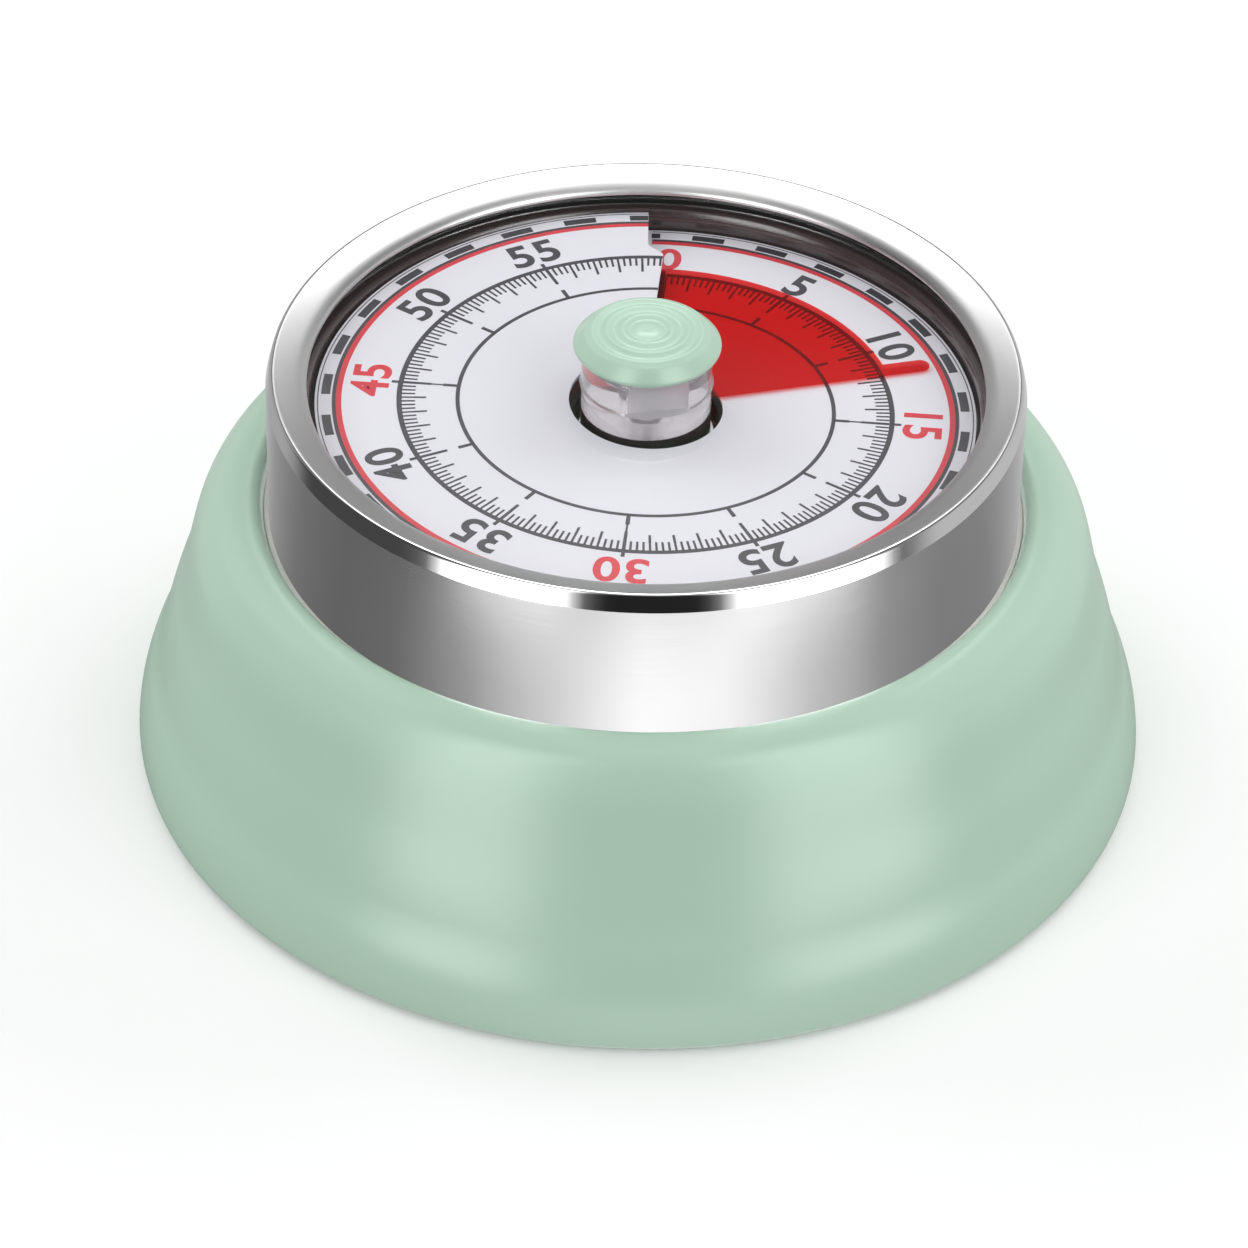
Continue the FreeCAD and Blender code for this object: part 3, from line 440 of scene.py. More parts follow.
def tent_glow(azimuth, elevation):
    glow = 0.0
    for left, right, low, high, edge, brightness in TENT_PATCHES:
        cover = ramp(azimuth, left - edge, left + edge) if left > -180 else 1.0
        cover *= 1 - ramp(azimuth, right - edge, right + edge) if right < 180 else 1.0
        cover *= ramp(elevation, low - edge, low + edge) if low > -90 else 1.0
        cover *= 1 - ramp(elevation, high - edge, high + edge) if high < 90 else 1.0
        glow += (brightness - glow) * cover
    # Below the skirt the tent shows the floor's painted light.
    ground = floor_glow(azimuth)
    return ground + (glow - ground) * ramp(elevation, *TENT_SKIRT)


# The floor's painted light: how bright reflections see the floor at an azimuth.
def floor_glow(azimuth):
    for (left, low), (right, high) in zip(FLOOR_PAINTED_LIGHT, FLOOR_PAINTED_LIGHT[1:]):
        if left <= azimuth <= right:
            return low + (high - low) * (azimuth - left) / (right - left)
    return FLOOR_PAINTED_LIGHT[0][1]


def glow_attribute(mesh, glow):
    """Stores how bright each point is."""
    layer = mesh.attributes.new("glow", "FLOAT", "POINT")
    for vertex in mesh.vertices:
        x, y, z = vertex.co
        azimuth = math.degrees(math.atan2(x, -y))
        elevation = math.degrees(math.atan2(z, math.hypot(x, y)))
        layer.data[vertex.index].value = glow(azimuth, elevation)


def glow_material(name):
    material = bpy.data.materials.new(name)
    material.use_nodes = True
    material.node_tree.nodes.clear()
    return material


def make_tent():
    """A round tent that only reflections see."""
    rows = []
    for elevation in range(-60, 91, 3):
        turn = math.radians(elevation)
        rows.append([
            (TENT_RADIUS * math.cos(turn) * math.sin(math.radians(a)), -TENT_RADIUS * math.cos(turn) * math.cos(math.radians(a)),
             TENT_RADIUS * math.sin(turn))
            for a in range(-180, 181, 3)
        ])
    mesh = surface("reflection_tent", rows)
    glow_attribute(mesh, tent_glow)
    material = glow_material("tent_cloth")
    stored = node(material, "ShaderNodeAttribute", attribute_name="glow")
    light = node(material, "ShaderNodeEmission")
    out = node(material, "ShaderNodeOutputMaterial")
    wire(material, stored.outputs["Fac"], light.inputs["Strength"])
    wire(material, light.outputs["Emission"], out.inputs["Surface"])
    tent = link("reflection_tent", mesh)
    tent.data.materials.append(material)
    tent.visible_camera = tent.visible_diffuse = tent.visible_shadow = tent.visible_transmission = False
    return tent


def make_floor():
    """A pale floor. Near the timer metal sees painted light on it, its brightness painted by azimuth; further out
    reflections pass to the tent.
    """
    rows = []
    for radius in (0.001, 20, 40, 50, FLOOR_MIRROR, 80, 110, 160, 400, 1200, 4000):
        rows.append([(radius * math.sin(math.radians(a)), -radius * math.cos(math.radians(a)), 0.0) for a in range(-180, 181, 5)])
    mesh = surface("floor", rows)
    glow_attribute(mesh, lambda azimuth, elevation: floor_glow(azimuth))
    material = glow_material("floor_paint")
    path = node(material, "ShaderNodeLightPath")
    paint = node(material, "ShaderNodeBsdfDiffuse")
    paint.inputs["Color"].default_value = (0.82, 0.82, 0.82, 1.0)
    lift = node(material, "ShaderNodeEmission")
    seen = node(material, "ShaderNodeMath", operation="MAXIMUM")
    wire(material, path.outputs["Is Camera Ray"], seen.inputs[0])
    wire(material, path.outputs["Is Transmission Ray"], seen.inputs[1])
    lifted = node(material, "ShaderNodeMath", operation="MULTIPLY")
    lifted.inputs[1].default_value = FLOOR_LIFT
    wire(material, seen.outputs["Value"], lifted.inputs[0])
    wire(material, lifted.outputs["Value"], lift.inputs["Strength"])
    lit = node(material, "ShaderNodeAddShader")
    wire(material, paint.outputs["BSDF"], lit.inputs[0])
    wire(material, lift.outputs["Emission"], lit.inputs[1])
    stored = node(material, "ShaderNodeAttribute", attribute_name="glow")
    # Painted light: for reflections the floor glows by azimuth instead of being lit by the lamps.
    painted_floor_glow = node(material, "ShaderNodeEmission")
    wire(material, stored.outputs["Fac"], painted_floor_glow.inputs["Strength"])
    where = node(material, "ShaderNodeTexCoord")
    reach = node(material, "ShaderNodeVectorMath", operation="LENGTH")
    wire(material, where.outputs["Object"], reach.inputs[0])
    beyond = node(material, "ShaderNodeMath", operation="GREATER_THAN")
    beyond.inputs[1].default_value = FLOOR_MIRROR * MM
    wire(material, reach.outputs["Value"], beyond.inputs[0])
    clear = node(material, "ShaderNodeBsdfTransparent")
    reflected = node(material, "ShaderNodeMixShader")
    wire(material, beyond.outputs["Value"], reflected.inputs["Fac"])
    wire(material, painted_floor_glow.outputs["Emission"], reflected.inputs[1])
    wire(material, clear.outputs["BSDF"], reflected.inputs[2])
    whole = node(material, "ShaderNodeMixShader")
    out = node(material, "ShaderNodeOutputMaterial")
    wire(material, path.outputs["Is Glossy Ray"], whole.inputs["Fac"])
    wire(material, lit.outputs["Shader"], whole.inputs[1])
    wire(material, reflected.outputs["Shader"], whole.inputs[2])
    wire(material, whole.outputs["Shader"], out.inputs["Surface"])
    floor = link("floor", mesh)
    floor.data.materials.append(material)
    return floor


def make_world():
    """White where it is seen, a soft fill where it lights."""
    world = bpy.data.worlds.new("studio")
    bpy.context.scene.world = world
    world.use_nodes = True
    nodes, links = world.node_tree.nodes, world.node_tree.links
    nodes.clear()
    path = nodes.new("ShaderNodeLightPath")
    seen = nodes.new("ShaderNodeMath")
    seen.operation = "MAXIMUM"
    links.new(path.outputs["Is Camera Ray"], seen.inputs[0])
    links.new(path.outputs["Is Glossy Ray"], seen.inputs[1])
    also = nodes.new("ShaderNodeMath")
    also.operation = "MAXIMUM"
    links.new(seen.outputs["Value"], also.inputs[0])
    links.new(path.outputs["Is Transmission Ray"], also.inputs[1])
    strength = nodes.new("ShaderNodeMapRange")
    strength.inputs["To Min"].default_value = 0.40
    strength.inputs["To Max"].default_value = 1.0
    links.new(also.outputs["Value"], strength.inputs["Value"])
    sky = nodes.new("ShaderNodeBackground")
    out = nodes.new("ShaderNodeOutputWorld")
    links.new(strength.outputs["Result"], sky.inputs["Strength"])
    links.new(sky.outputs["Background"], out.inputs["Surface"])


# Name, azimuth from the front, elevation, distance, width, height, watts.
LAMPS = (
    ("lamp_top", 170.0, 80.0, 900.0, 900.0, 700.0, 2.0),
    ("lamp_left", -45.0, 38.0, 900.0, 600.0, 500.0, 1.8),
    ("lamp_right", 55.0, 38.0, 900.0, 600.0, 500.0, 1.8),
    ("lamp_back_left", -125.0, 35.0, 900.0, 600.0, 500.0, 2.6),
    ("lamp_back_right", 125.0, 35.0, 900.0, 600.0, 500.0, 2.6),
)


def make_lamps():
    for name, azimuth, elevation, distance, width, height, power in LAMPS:
        lamp = bpy.data.lights.new(name, "AREA")
        lamp.shape = "RECTANGLE"
        lamp.size, lamp.size_y = width * MM, height * MM
        lamp.energy = power
        stand = bpy.data.objects.new(name, lamp)
        bpy.context.scene.collection.objects.link(stand)
        turn, lift = math.radians(azimuth), math.radians(elevation)
        away = Vector((math.sin(turn) * math.cos(lift), -math.cos(turn) * math.cos(lift), math.sin(lift)))
        stand.location = away * distance * MM
        stand.rotation_euler = away.to_track_quat("Z", "Y").to_euler()
        stand.visible_glossy = stand.visible_transmission = False


class TIMER_OT_stage(bpy.types.Operator):
    """Sets up the camera, floor, lamps and the tent that metal reflects"""

    bl_idname = "timer.stage"
    bl_label = "Studio"

    def execute(self, context):
        camera = bpy.data.cameras.new("camera")
        camera.lens = CAMERA_LENS
        camera.sensor_width = 36.0
        camera.clip_start, camera.clip_end = 0.01, 20.0
        stand = bpy.data.objects.new("camera", camera)
        context.scene.collection.objects.link(stand)
        stand.location = Vector(CAMERA_PLACE) * MM
        stand.rotation_euler = [math.radians(value) for value in CAMERA_TURN]
        context.scene.camera = stand
        context.scene.view_settings.view_transform = "Standard"
        make_world()
        make_lamps()
        make_floor()
        make_tent()
        return {"FINISHED"}


# ---------------------------------------------------------------- casing

BASE_LINE = (
    (34.75, 0.3), (35.02, 0.55), (35.1, 1.1), (35.03, 2.0), (34.85, 3.0), (34.58, 4.0), (34.23, 5.0), (33.80, 6.0), (33.46, 7.0),
    (33.19, 8.0), (32.92, 9.0), (32.64, 10.0), (32.33, 11.0), (31.98, 12.0), (31.67, 13.0), (31.41, 14.0),
    (31.17, 15.0), (30.93, 16.0), (30.62, 17.0), (30.14, 18.0), (29.46, 19.0), (29.05, 19.45), (28.5, 19.85), (27.8, 20.15), (27.1, 20.28),
    (26.65, 20.22), (26.32, 20.0), (26.12, 19.65), (26.02, 19.2), (26.0, 18.75),
)


class TIMER_OT_base(bpy.types.Operator):
    """Turns the mint base with its soft rings"""

    bl_idname = "timer.base"
    bl_label = "Base"

    def execute(self, context):
        colours = context.scene.timer_colours
        inside = rounded([
            (26.0, 18.7), (24.7, 18.7), (24.7, 19.4), (3.0, 19.4), (3.0, 17.8),
            (27.3, 17.8), (28.2, 16.6), (29.9, 12.3), (31.6, 5.8), (31.8, 2.2), (33.1, 2.2), (33.1, 0.3),
        ])
        section = through([(r, min(z, BASE_TOP)) for r, z in BASE_LINE], 4) + inside
        piece = link("mint_base", lathe("mint_base", section, 320))
        fill_slots(piece, mint_plastic(colours))
        piece.visible_glossy = False
        place(piece, "base", "mint_plastic", "base_shell")
        return {"FINISHED"}


def mint_plastic(colours):
    found = bpy.data.materials.get("mint_plastic")
    if found:
        return found
    material = plastic("mint_plastic", colours.mint, 0.09, 0.006, 700.0, 0.012)
    shader_of(material).inputs["Subsurface Weight"].default_value = 0.06
    shader_of(material).inputs["Subsurface Radius"].default_value = (0.0012, 0.0016, 0.0012)
    shader_of(material).inputs["Coat Weight"].default_value = 0.25
    shader_of(material).inputs["Coat Roughness"].default_value = 0.05
    return material


class TIMER_OT_ring(bpy.types.Operator):
    """Turns the steel ring: satin wall, polished chamfer and satin dish"""

    bl_idname = "timer.ring"
    bl_label = "Ring"

    def execute(self, context):
        colours = context.scene.timer_colours
        shoulder = 29.07
        section = rounded([
            (25.6, 19.12, 0.1), (25.55, shoulder, 0.03), (25.22, RING_TOP, 0.35), (23.25, 29.62, 0.5), (22.8, 29.3, 0.2),
            (22.8, 29.05), (25.1, 29.05), (25.1, 19.12, 0.1),
        ], 8)
        mesh = lathe("steel_ring", section, 320, 20.0)
        piece = link("steel_ring", mesh)
        satin = metal("satin_steel", colours.steel, 0.19, 0.04, 9000.0, True, 0.0)
        polished = metal("polished_steel", shade(colours.steel, 1.1), 0.06, 0.01, 6000.0)
        dish = metal("satin_dish", colours.steel, 0.34, 0.05, 9000.0, True, 0.0)
        fill_slots(piece, satin, polished, dish)
        for face in mesh.polygons:
            height, reach = face.center.z / MM, math.hypot(face.center.x, face.center.y) / MM
            if height > shoulder and reach > 25.05:
                face.material_index = 1
            elif height > shoulder:
                face.material_index = 2
        place(piece, "head", "steel_ring", "bezel_ring")
        return {"FINISHED"}


# The dark sleeve under the clear boss ends here.
HUB_TOP = 27.2
# The knob's mint neck between its cap and the clear boss.
NECK = 0.4
NECK_RADIUS = 3.9


class TIMER_OT_window(bpy.types.Operator):
    """Makes the clear window and the clear boss that carries the knob"""

    bl_idname = "timer.window"
    bl_label = "Window"

    def execute(self, context):
        top = WINDOW_LOW + 0.9
        pane = link("window_pane", lathe("window_pane", rounded([
            (4.42, WINDOW_LOW), (24.4, WINDOW_LOW), (24.4, top), (4.42, top),
        ])))
        fill_slots(pane, pane_material())
        pane.visible_shadow = False
        place(pane, "head", "clear_plastic", "window_lens")
        crown = BOSS_TOP - NECK
        side = Vector((math.sin(math.radians(12.0)), -math.cos(math.radians(12.0))))

        def flat(x, y, z):
            """Cuts the front of the boss to a flat."""
            over = x * side.x + y * side.y - 3.87
            if over > 0 and z > top + 0.05:
                return x - over * side.x, y - over * side.y, z
            return x, y, z

        boss = link("knob_boss", lathe("knob_boss", rounded([
            (1.1, HUB_TOP), (4.4, HUB_TOP, 0.05), (4.4, top + 0.01), (4.52, top + 0.03), (4.4, top + 0.2), (4.4, crown - 0.3),
            (4.4, crown - 0.1), (4.3, crown), (2.35, crown), (2.35, BOSS_TOP - 1.6), (1.1, BOSS_TOP - 1.6),
        ]), 360, 10.0, flat))
        clear = new_finish("clear_boss", Transmission_Weight=0.80, IOR=1.49, Base_Color=(0.92, 0.89, 0.92))
        roughened(clear, noise(clear, 500.0, 3.0), 0.03, 0.10)
        bumped(clear, noise(clear, 260.0), 0.25)
        frosted = new_finish("frosted_boss", Transmission_Weight=0.35, IOR=1.49, Base_Color=(0.62, 0.60, 0.63))
        roughened(frosted, noise(frosted, 1500.0, 4.0), 0.35, 0.55)
        bumped(frosted, noise(frosted, 1800.0, 4.0), 0.3)
        fill_slots(boss, clear, frosted)
        for face in boss.data.polygons:
            if Vector(face.center[:2]).dot(side) / MM > 3.86 and face.center.z / MM > top:
                face.material_index = 1
        boss.visible_shadow = False
        place(boss, "head", "clear_plastic")
        low, high = cad_box("film_hub")
        hub = link("film_hub_sleeve", lathe("film_hub_sleeve", [
            (1.5, low[2]), (2.6, low[2]), (2.6, 25.6), (4.4, 25.6), (4.4, HUB_TOP - 0.02), (1.5, HUB_TOP - 0.02),
        ], 180))
        fill_slots(hub, plastic("hub_black", (0.026, 0.020, 0.017), 0.5, 0.06, 1800.0, 0.08))
        place(hub, "head", "dark_plastic", "film_hub")
        return {"FINISHED"}


def pane_material():
    """A thin clear sheet: what is behind shows straight, and its face reflects."""
    material = bpy.data.materials.new("clear_window")
    material.use_nodes = True
    material.node_tree.nodes.clear()
    clear = node(material, "ShaderNodeBsdfTransparent")
    clear.inputs["Color"].default_value = (0.985, 0.985, 0.99, 1.0)
    gloss = node(material, "ShaderNodeBsdfGlossy")
    gloss.inputs["Roughness"].default_value = 0.03
    edge = node(material, "ShaderNodeFresnel")
    edge.inputs["IOR"].default_value = 1.45
    bump = node(material, "ShaderNodeBump")
    bump.inputs["Strength"].default_value = 0.02
    bump.inputs["Distance"].default_value = 0.0001
    wire(material, noise(material, 90.0), bump.inputs["Height"])
    wire(material, bump.outputs["Normal"], gloss.inputs["Normal"])
    front = node(material, "ShaderNodeNewGeometry")
    facing = node(material, "ShaderNodeMath", operation="SUBTRACT")
    facing.inputs[0].default_value = 1.0
    wire(material, front.outputs["Backfacing"], facing.inputs[1])
    share = node(material, "ShaderNodeMath", operation="MULTIPLY")
    wire(material, edge.outputs["Fac"], share.inputs[0])
    wire(material, facing.outputs["Value"], share.inputs[1])
    mix = node(material, "ShaderNodeMixShader")
    out = node(material, "ShaderNodeOutputMaterial")
    wire(material, share.outputs["Value"], mix.inputs["Fac"])
    wire(material, clear.outputs["BSDF"], mix.inputs[1])
    wire(material, gloss.outputs["BSDF"], mix.inputs[2])
    wire(material, mix.outputs["Shader"], out.inputs["Surface"])
    return material


class TIMER_OT_knob(bpy.types.Operator):
    """Turns the rippled mint knob cap"""

    bl_idname = "timer.knob"
    bl_label = "Knob"

    def execute(self, context):
        low = BOSS_TOP
        top = CAP_TOP
        face = through([
            (4.86, low + 0.04), (4.95, low + 0.18), (4.94, low + 0.38), (4.62, low + 0.72), (4.30, low + 1.04), (4.16, low + 1.14),
            (3.98, top - 0.30), (3.72, top - 0.17), (3.48, top - 0.24), (3.26, top - 0.30), (3.04, top - 0.22), (2.78, top - 0.08),
            (2.52, top - 0.15), (2.26, top - 0.23), (2.0, top - 0.14), (1.68, top - 0.02), (1.42, top - 0.10), (1.2, top - 0.19),
            (0.98, top - 0.12), (0.62, top - 0.03), (0.3, top - 0.02), (0.0, top - 0.02),
        ], 4)
        section = [
            *face, (0.0, low - 0.6), (2.2, low - 0.6), (2.2, low - NECK + 0.02), (NECK_RADIUS, low - NECK + 0.02),
            (NECK_RADIUS, low + 0.01), (4.6, low + 0.01), (4.8, low + 0.02),
        ]
        piece = link("mint_knob", lathe("mint_knob", section, 192))
        fill_slots(piece, mint_plastic(context.scene.timer_colours))
        place(piece, "head", "mint_plastic", "knob_cap")
        return {"FINISHED"}


class TIMER_OT_cup(bpy.types.Operator):
    """Turns the dark cup that shows between the dial and the window"""

    bl_idname = "timer.cup"
    bl_label = "Cup"

    def execute(self, context):
        low, high = cad_box("dial_carrier")
        top = high[2]
        section = rounded([
            (24.35, low[2]), (24.35, top - 0.55, 0.3), (23.6, top - 0.03, 0.5), (22.9, top - 0.05, 0.4), (22.55, top - 0.5, 0.4), (22.5, 26.4),
            (22.5, 26.0), (21.5, 25.8), (21.5, 25.0), (4.6, 25.0), (4.6, 24.0), (22.5, 24.0), (22.5, low[2]),
        ], 8)
        piece = link("dark_cup", lathe("dark_cup", section, 320, 40.0))
        tone = context.scene.timer_colours.cup
        material = new_finish("dark_cup_plastic", IOR=1.6, Coat_Weight=1.0, Coat_Roughness=0.10)
        streaks = turned_noise(material, 700.0)
        tinted(material, streaks, shade(tone, 0.8), shade(tone, 1.25))
        roughened(material, turned_noise(material, 1500.0), 0.18, 0.34)
        bumped(material, streaks, 0.06, 0.00006)
        fill_slots(piece, material)
        place(piece, "base", "dark_plastic", "dial_carrier")
        return {"FINISHED"}


# ---------------------------------------------------------------- dial

FLAP_OUTER = 360.0 - 4.6
FLAP_INSET = 0.3


def flap_edge(radius):
    """Dial angle where the sheet's high end stops."""
    inner = 360.0 - math.degrees(FLAP_INSET / radius)
    share = ramp(radius, 16.9, 18.35)
    return inner + (FLAP_OUTER - inner) * share


def tuck_edge(radius):
    """Dial angle where the sheet's low end starts, under the flap."""
    return -0.3 - 6.0 * ramp(radius, 17.15, 17.5)


class TIMER_OT_dial(bpy.types.Operator):
    """Makes the helical dial sheet with its stepped slit"""

    bl_idname = "timer.dial"
    bl_label = "Dial"

    def execute(self, context):
        radii = [5.2, 6, 8, 10, 12, 14, 15.5, 16.4, 16.9, *(17.0 + 0.1 * step for step in range(15)), 19.0, 20.5, 21.5, DIAL_EDGE]
        steps = 360
        rows = []
        for radius in radii:
            first, last = tuck_edge(radius), flap_edge(radius)
            rows.append([dial_spot(radius, first + (last - first) * step / steps) for step in range(steps + 1)])
        mesh = thickened(surface("dial_sheet", rows), 0.25)
        piece = link("dial_sheet", mesh)
        tone = context.scene.timer_colours.dial
        material = new_finish("dial_paper", IOR=1.45)
        tinted(material, noise(material, 90.0, 2.0), shade(tone, 0.985), shade(tone, 1.01))
        roughened(material, noise(material, 1200.0, 3.0), 0.42, 0.55)
        bumped(material, noise(material, 1500.0, 3.0), 0.03)
        fill_slots(piece, material)
        place(piece, "base", "dial_print", "dial")
        return {"FINISHED"}


def marks_tree():
    """Nodes that lay evenly spaced bars on the helical dial; every fourth and twentieth may be longer."""
    tree = bpy.data.node_groups.new("dial marks", "GeometryNodeTree")
    face = tree.interface
    face.new_socket("Geometry", in_out="INPUT", socket_type="NodeSocketGeometry")
    for name, kind in (
        ("Count", "Int"), ("First angle", "Float"), ("Pitch", "Float"), ("Width", "Float"), ("Outer radius", "Float"),
        ("Length", "Float"), ("Fourth length", "Float"), ("Twentieth length", "Float"), ("Ink", "Float"),
    ):
        face.new_socket(name, in_out="INPUT", socket_type=f"NodeSocket{kind}")
    face.new_socket("Finish", in_out="INPUT", socket_type="NodeSocketMaterial")
    face.new_socket("Geometry", in_out="OUTPUT", socket_type="NodeSocketGeometry")
    given, result = tree.nodes.new("NodeGroupInput"), tree.nodes.new("NodeGroupOutput")

    def add(kind, **values):
        made = tree.nodes.new(kind)
        for key, value in values.items():
            setattr(made, key, value)
        return made

    def join(source, target):
        if isinstance(source, (int, float)):
            target.default_value = source
        else:
            tree.links.new(source, target)

    def maths(operation, first, second=None):
        made = add("ShaderNodeMath", operation=operation)
        join(first, made.inputs[0])
        if second is not None:
            join(second, made.inputs[1])
        return made.outputs["Value"]

    def choose(test, no, yes):
        made = add("GeometryNodeSwitch", input_type="FLOAT")
        join(test, made.inputs["Switch"])
        join(no, made.inputs["False"])
        join(yes, made.inputs["True"])
        return made.outputs["Output"]

    def is_nth(index, number):
        made = add("FunctionNodeCompare", data_type="FLOAT", operation="LESS_THAN")
        join(maths("MODULO", index, float(number)), made.inputs["A"])
        join(0.5, made.inputs["B"])
        return made.outputs["Result"]

    def vector(x, y, z):
        made = add("ShaderNodeCombineXYZ")
        for source, target in zip((x, y, z), made.inputs):
            join(source, target)
        return made.outputs["Vector"]

    # A line of points: X is the dial angle in degrees, Y the reach in millimetres.
    line = add("GeometryNodeMeshLine")
    tree.links.new(given.outputs["Count"], line.inputs["Count"])
    tree.links.new(vector(given.outputs["First angle"], 0.0, 0.0), line.inputs["Start Location"])
    tree.links.new(vector(given.outputs["Pitch"], 0.0, 0.0), line.inputs["Offset"])
    index = add("GeometryNodeInputIndex").outputs["Index"]
    long = choose(is_nth(index, 20), choose(is_nth(index, 4), given.outputs["Length"], given.outputs["Fourth length"]),
                  given.outputs["Twentieth length"])
    bar = add("GeometryNodeMeshCube")
    bar.inputs["Vertices X"].default_value = 4
    sunk = add("GeometryNodeTransform")
    sunk.inputs["Translation"].default_value = (0.0, -0.5, 0.5)
    tree.links.new(bar.outputs["Mesh"], sunk.inputs["Geometry"])
    laid = add("GeometryNodeInstanceOnPoints")
    tree.links.new(line.outputs["Mesh"], laid.inputs["Points"])
    tree.links.new(sunk.outputs["Geometry"], laid.inputs["Instance"])
    tree.links.new(vector(given.outputs["Width"], long, given.outputs["Ink"]), laid.inputs["Scale"])
    real = add("GeometryNodeRealizeInstances")
    tree.links.new(laid.outputs["Instances"], real.inputs["Geometry"])
    # Roll the flat pattern onto the helix.
    spot = add("ShaderNodeSeparateXYZ")
    tree.links.new(add("GeometryNodeInputPosition").outputs["Position"], spot.inputs["Vector"])
    turn = maths("RADIANS", maths("ADD", spot.outputs["X"], DIAL_ZERO))
    reach = maths("ADD", spot.outputs["Y"], given.outputs["Outer radius"])
    height = maths("ADD", maths("ADD", maths("MULTIPLY", spot.outputs["X"], DIAL_RISE / 360), DIAL_LOW), spot.outputs["Z"])
    rolled = vector(
        maths("MULTIPLY", maths("MULTIPLY", reach, maths("SINE", turn)), MM),
        maths("MULTIPLY", maths("MULTIPLY", reach, maths("COSINE", turn)), MM),
        maths("MULTIPLY", height, MM),
    )
    moved = add("GeometryNodeSetPosition")
    tree.links.new(real.outputs["Geometry"], moved.inputs["Geometry"])
    tree.links.new(rolled, moved.inputs["Position"])
    dressed = add("GeometryNodeSetMaterial")
    tree.links.new(moved.outputs["Geometry"], dressed.inputs["Geometry"])
    tree.links.new(given.outputs["Finish"], dressed.inputs["Material"])
    tree.links.new(dressed.outputs["Geometry"], result.inputs["Geometry"])
    return tree


def marks(name, tree, values):
    """A plain mesh from the marks tree and its named inputs."""
    holder = link(name + "_holder", bpy.data.meshes.new(name + "_holder"))
    modifier = holder.modifiers.new("marks", "NODES")
    modifier.node_group = tree
    names = {item.name: item.identifier for item in tree.interface.items_tree if item.in_out == "INPUT"}
    for key, value in values.items():
        modifier[names[key]] = value
    mesh = bpy.data.meshes.new_from_object(holder.evaluated_get(bpy.context.evaluated_depsgraph_get()))
    mesh.name = name
    bpy.data.objects.remove(holder)
    finish_mesh(mesh, 30.0)
    piece = link(name, mesh)
    place(piece, "base", "dial_print")
    return piece


def ink(name, tone):
    found = bpy.data.materials.get(name)
    if found:
        return found
    material = new_finish(name, IOR=1.5)
    tinted(material, noise(material, 900.0, 2.0), shade(tone, 0.9), shade(tone, 1.1))
    roughened(material, noise(material, 1500.0), 0.35, 0.5)
    return material


class TIMER_OT_scale(bpy.types.Operator):
    """Prints the scale's ticks, circles and border on the dial"""

    bl_idname = "timer.scale"
    bl_label = "Scale"

    def execute(self, context):
        sizes, colours = context.scene.timer_sizes, context.scene.timer_colours
        black, red = ink("black_ink", colours.black_ink), ink("red_ink", colours.red_ink)
        layer = sizes.ink / MM
        tree = marks_tree()
        width = math.degrees(sizes.tick_width / MM / 16.2)
        common = {"Fourth length": 0.0, "Twentieth length": 0.0, "Ink": layer, "Finish": black}
        short = sizes.tick_length / MM
        marks("dial_ticks", tree, {
            **common, "Count": 239, "First angle": 1.5, "Pitch": 1.5, "Width": width, "Outer radius": 16.5,
            "Length": short, "Fourth length": short, "Twentieth length": short,
        })
        marks("dial_minutes", tree, {
            **common, "Count": 59, "First angle": 6.0, "Pitch": 6.0, "Width": width * 1.15, "Outer radius": 15.65,
            "Length": 0.85, "Fourth length": 0.85, "Twentieth length": 0.85, "Ink": layer,
        })
        marks("dial_fives", tree, {
            **common, "Count": 11, "First angle": 30.0, "Pitch": 30.0, "Width": width * 1.5, "Outer radius": 17.25,
            "Length": 2.7, "Fourth length": 2.7, "Twentieth length": 2.7, "Ink": layer * 1.5,
        })
        marks("dial_inner_ticks", tree, {
            **common, "Count": 11, "First angle": 30.0, "Pitch": 30.0, "Width": 1.2, "Outer radius": 13.75,
            "Length": 1.1, "Fourth length": 1.1, "Twentieth length": 1.1, "Ink": layer,
        })
        marks("dial_quarters", tree, {
            **common, "Count": 4, "First angle": 0.0, "Pitch": 90.0, "Width": 0.55, "Outer radius": 16.5,
            "Length": 3.9, "Fourth length": 3.9, "Twentieth length": 3.9, "Ink": layer * 1.25,
        })
        marks("dial_dashes", tree, {
            **common, "Count": sizes.dash_count - 2, "First angle": 6.83, "Pitch": 12.43, "Width": 6.1, "Outer radius": 21.88,
            "Length": 0.61, "Fourth length": 0.61, "Twentieth length": 0.61, "Ink": layer,
        })
        self.rings(layer, black, red)
        return {"FINISHED"}

    def rings(self, layer, black, red):
        """Circles round the dial and the two border dashes that the slit cuts."""
        def band(inner, outer, first=None, last=None, steps=360, lift=1.0):
            middle = (inner + outer) / 2
            first = -3.8 if middle > 18 and first is None else (0.0 if first is None else first)
            last = flap_edge(middle) if last is None else last
            return helical_band(inner, outer, first, last, 0.0, layer * lift, steps)

        black_parts = [
            band(16.45, 16.8), band(12.55, 12.83), band(20.88, 21.14), band(22.06, 22.13),
            band(21.27, 21.88, -3.9, -2.3, 4), band(21.27, 21.88, 351.9, FLAP_OUTER - 0.05, 8),
        ]
        for name, parts, finish in (
            ("dial_rings", black_parts, black), ("dial_red_ring", [band(20.5, 20.88)], red),
        ):
            piece = link(name, mesh_from(name, *merged(parts)))
            fill_slots(piece, finish)
            place(piece, "base", "dial_print")


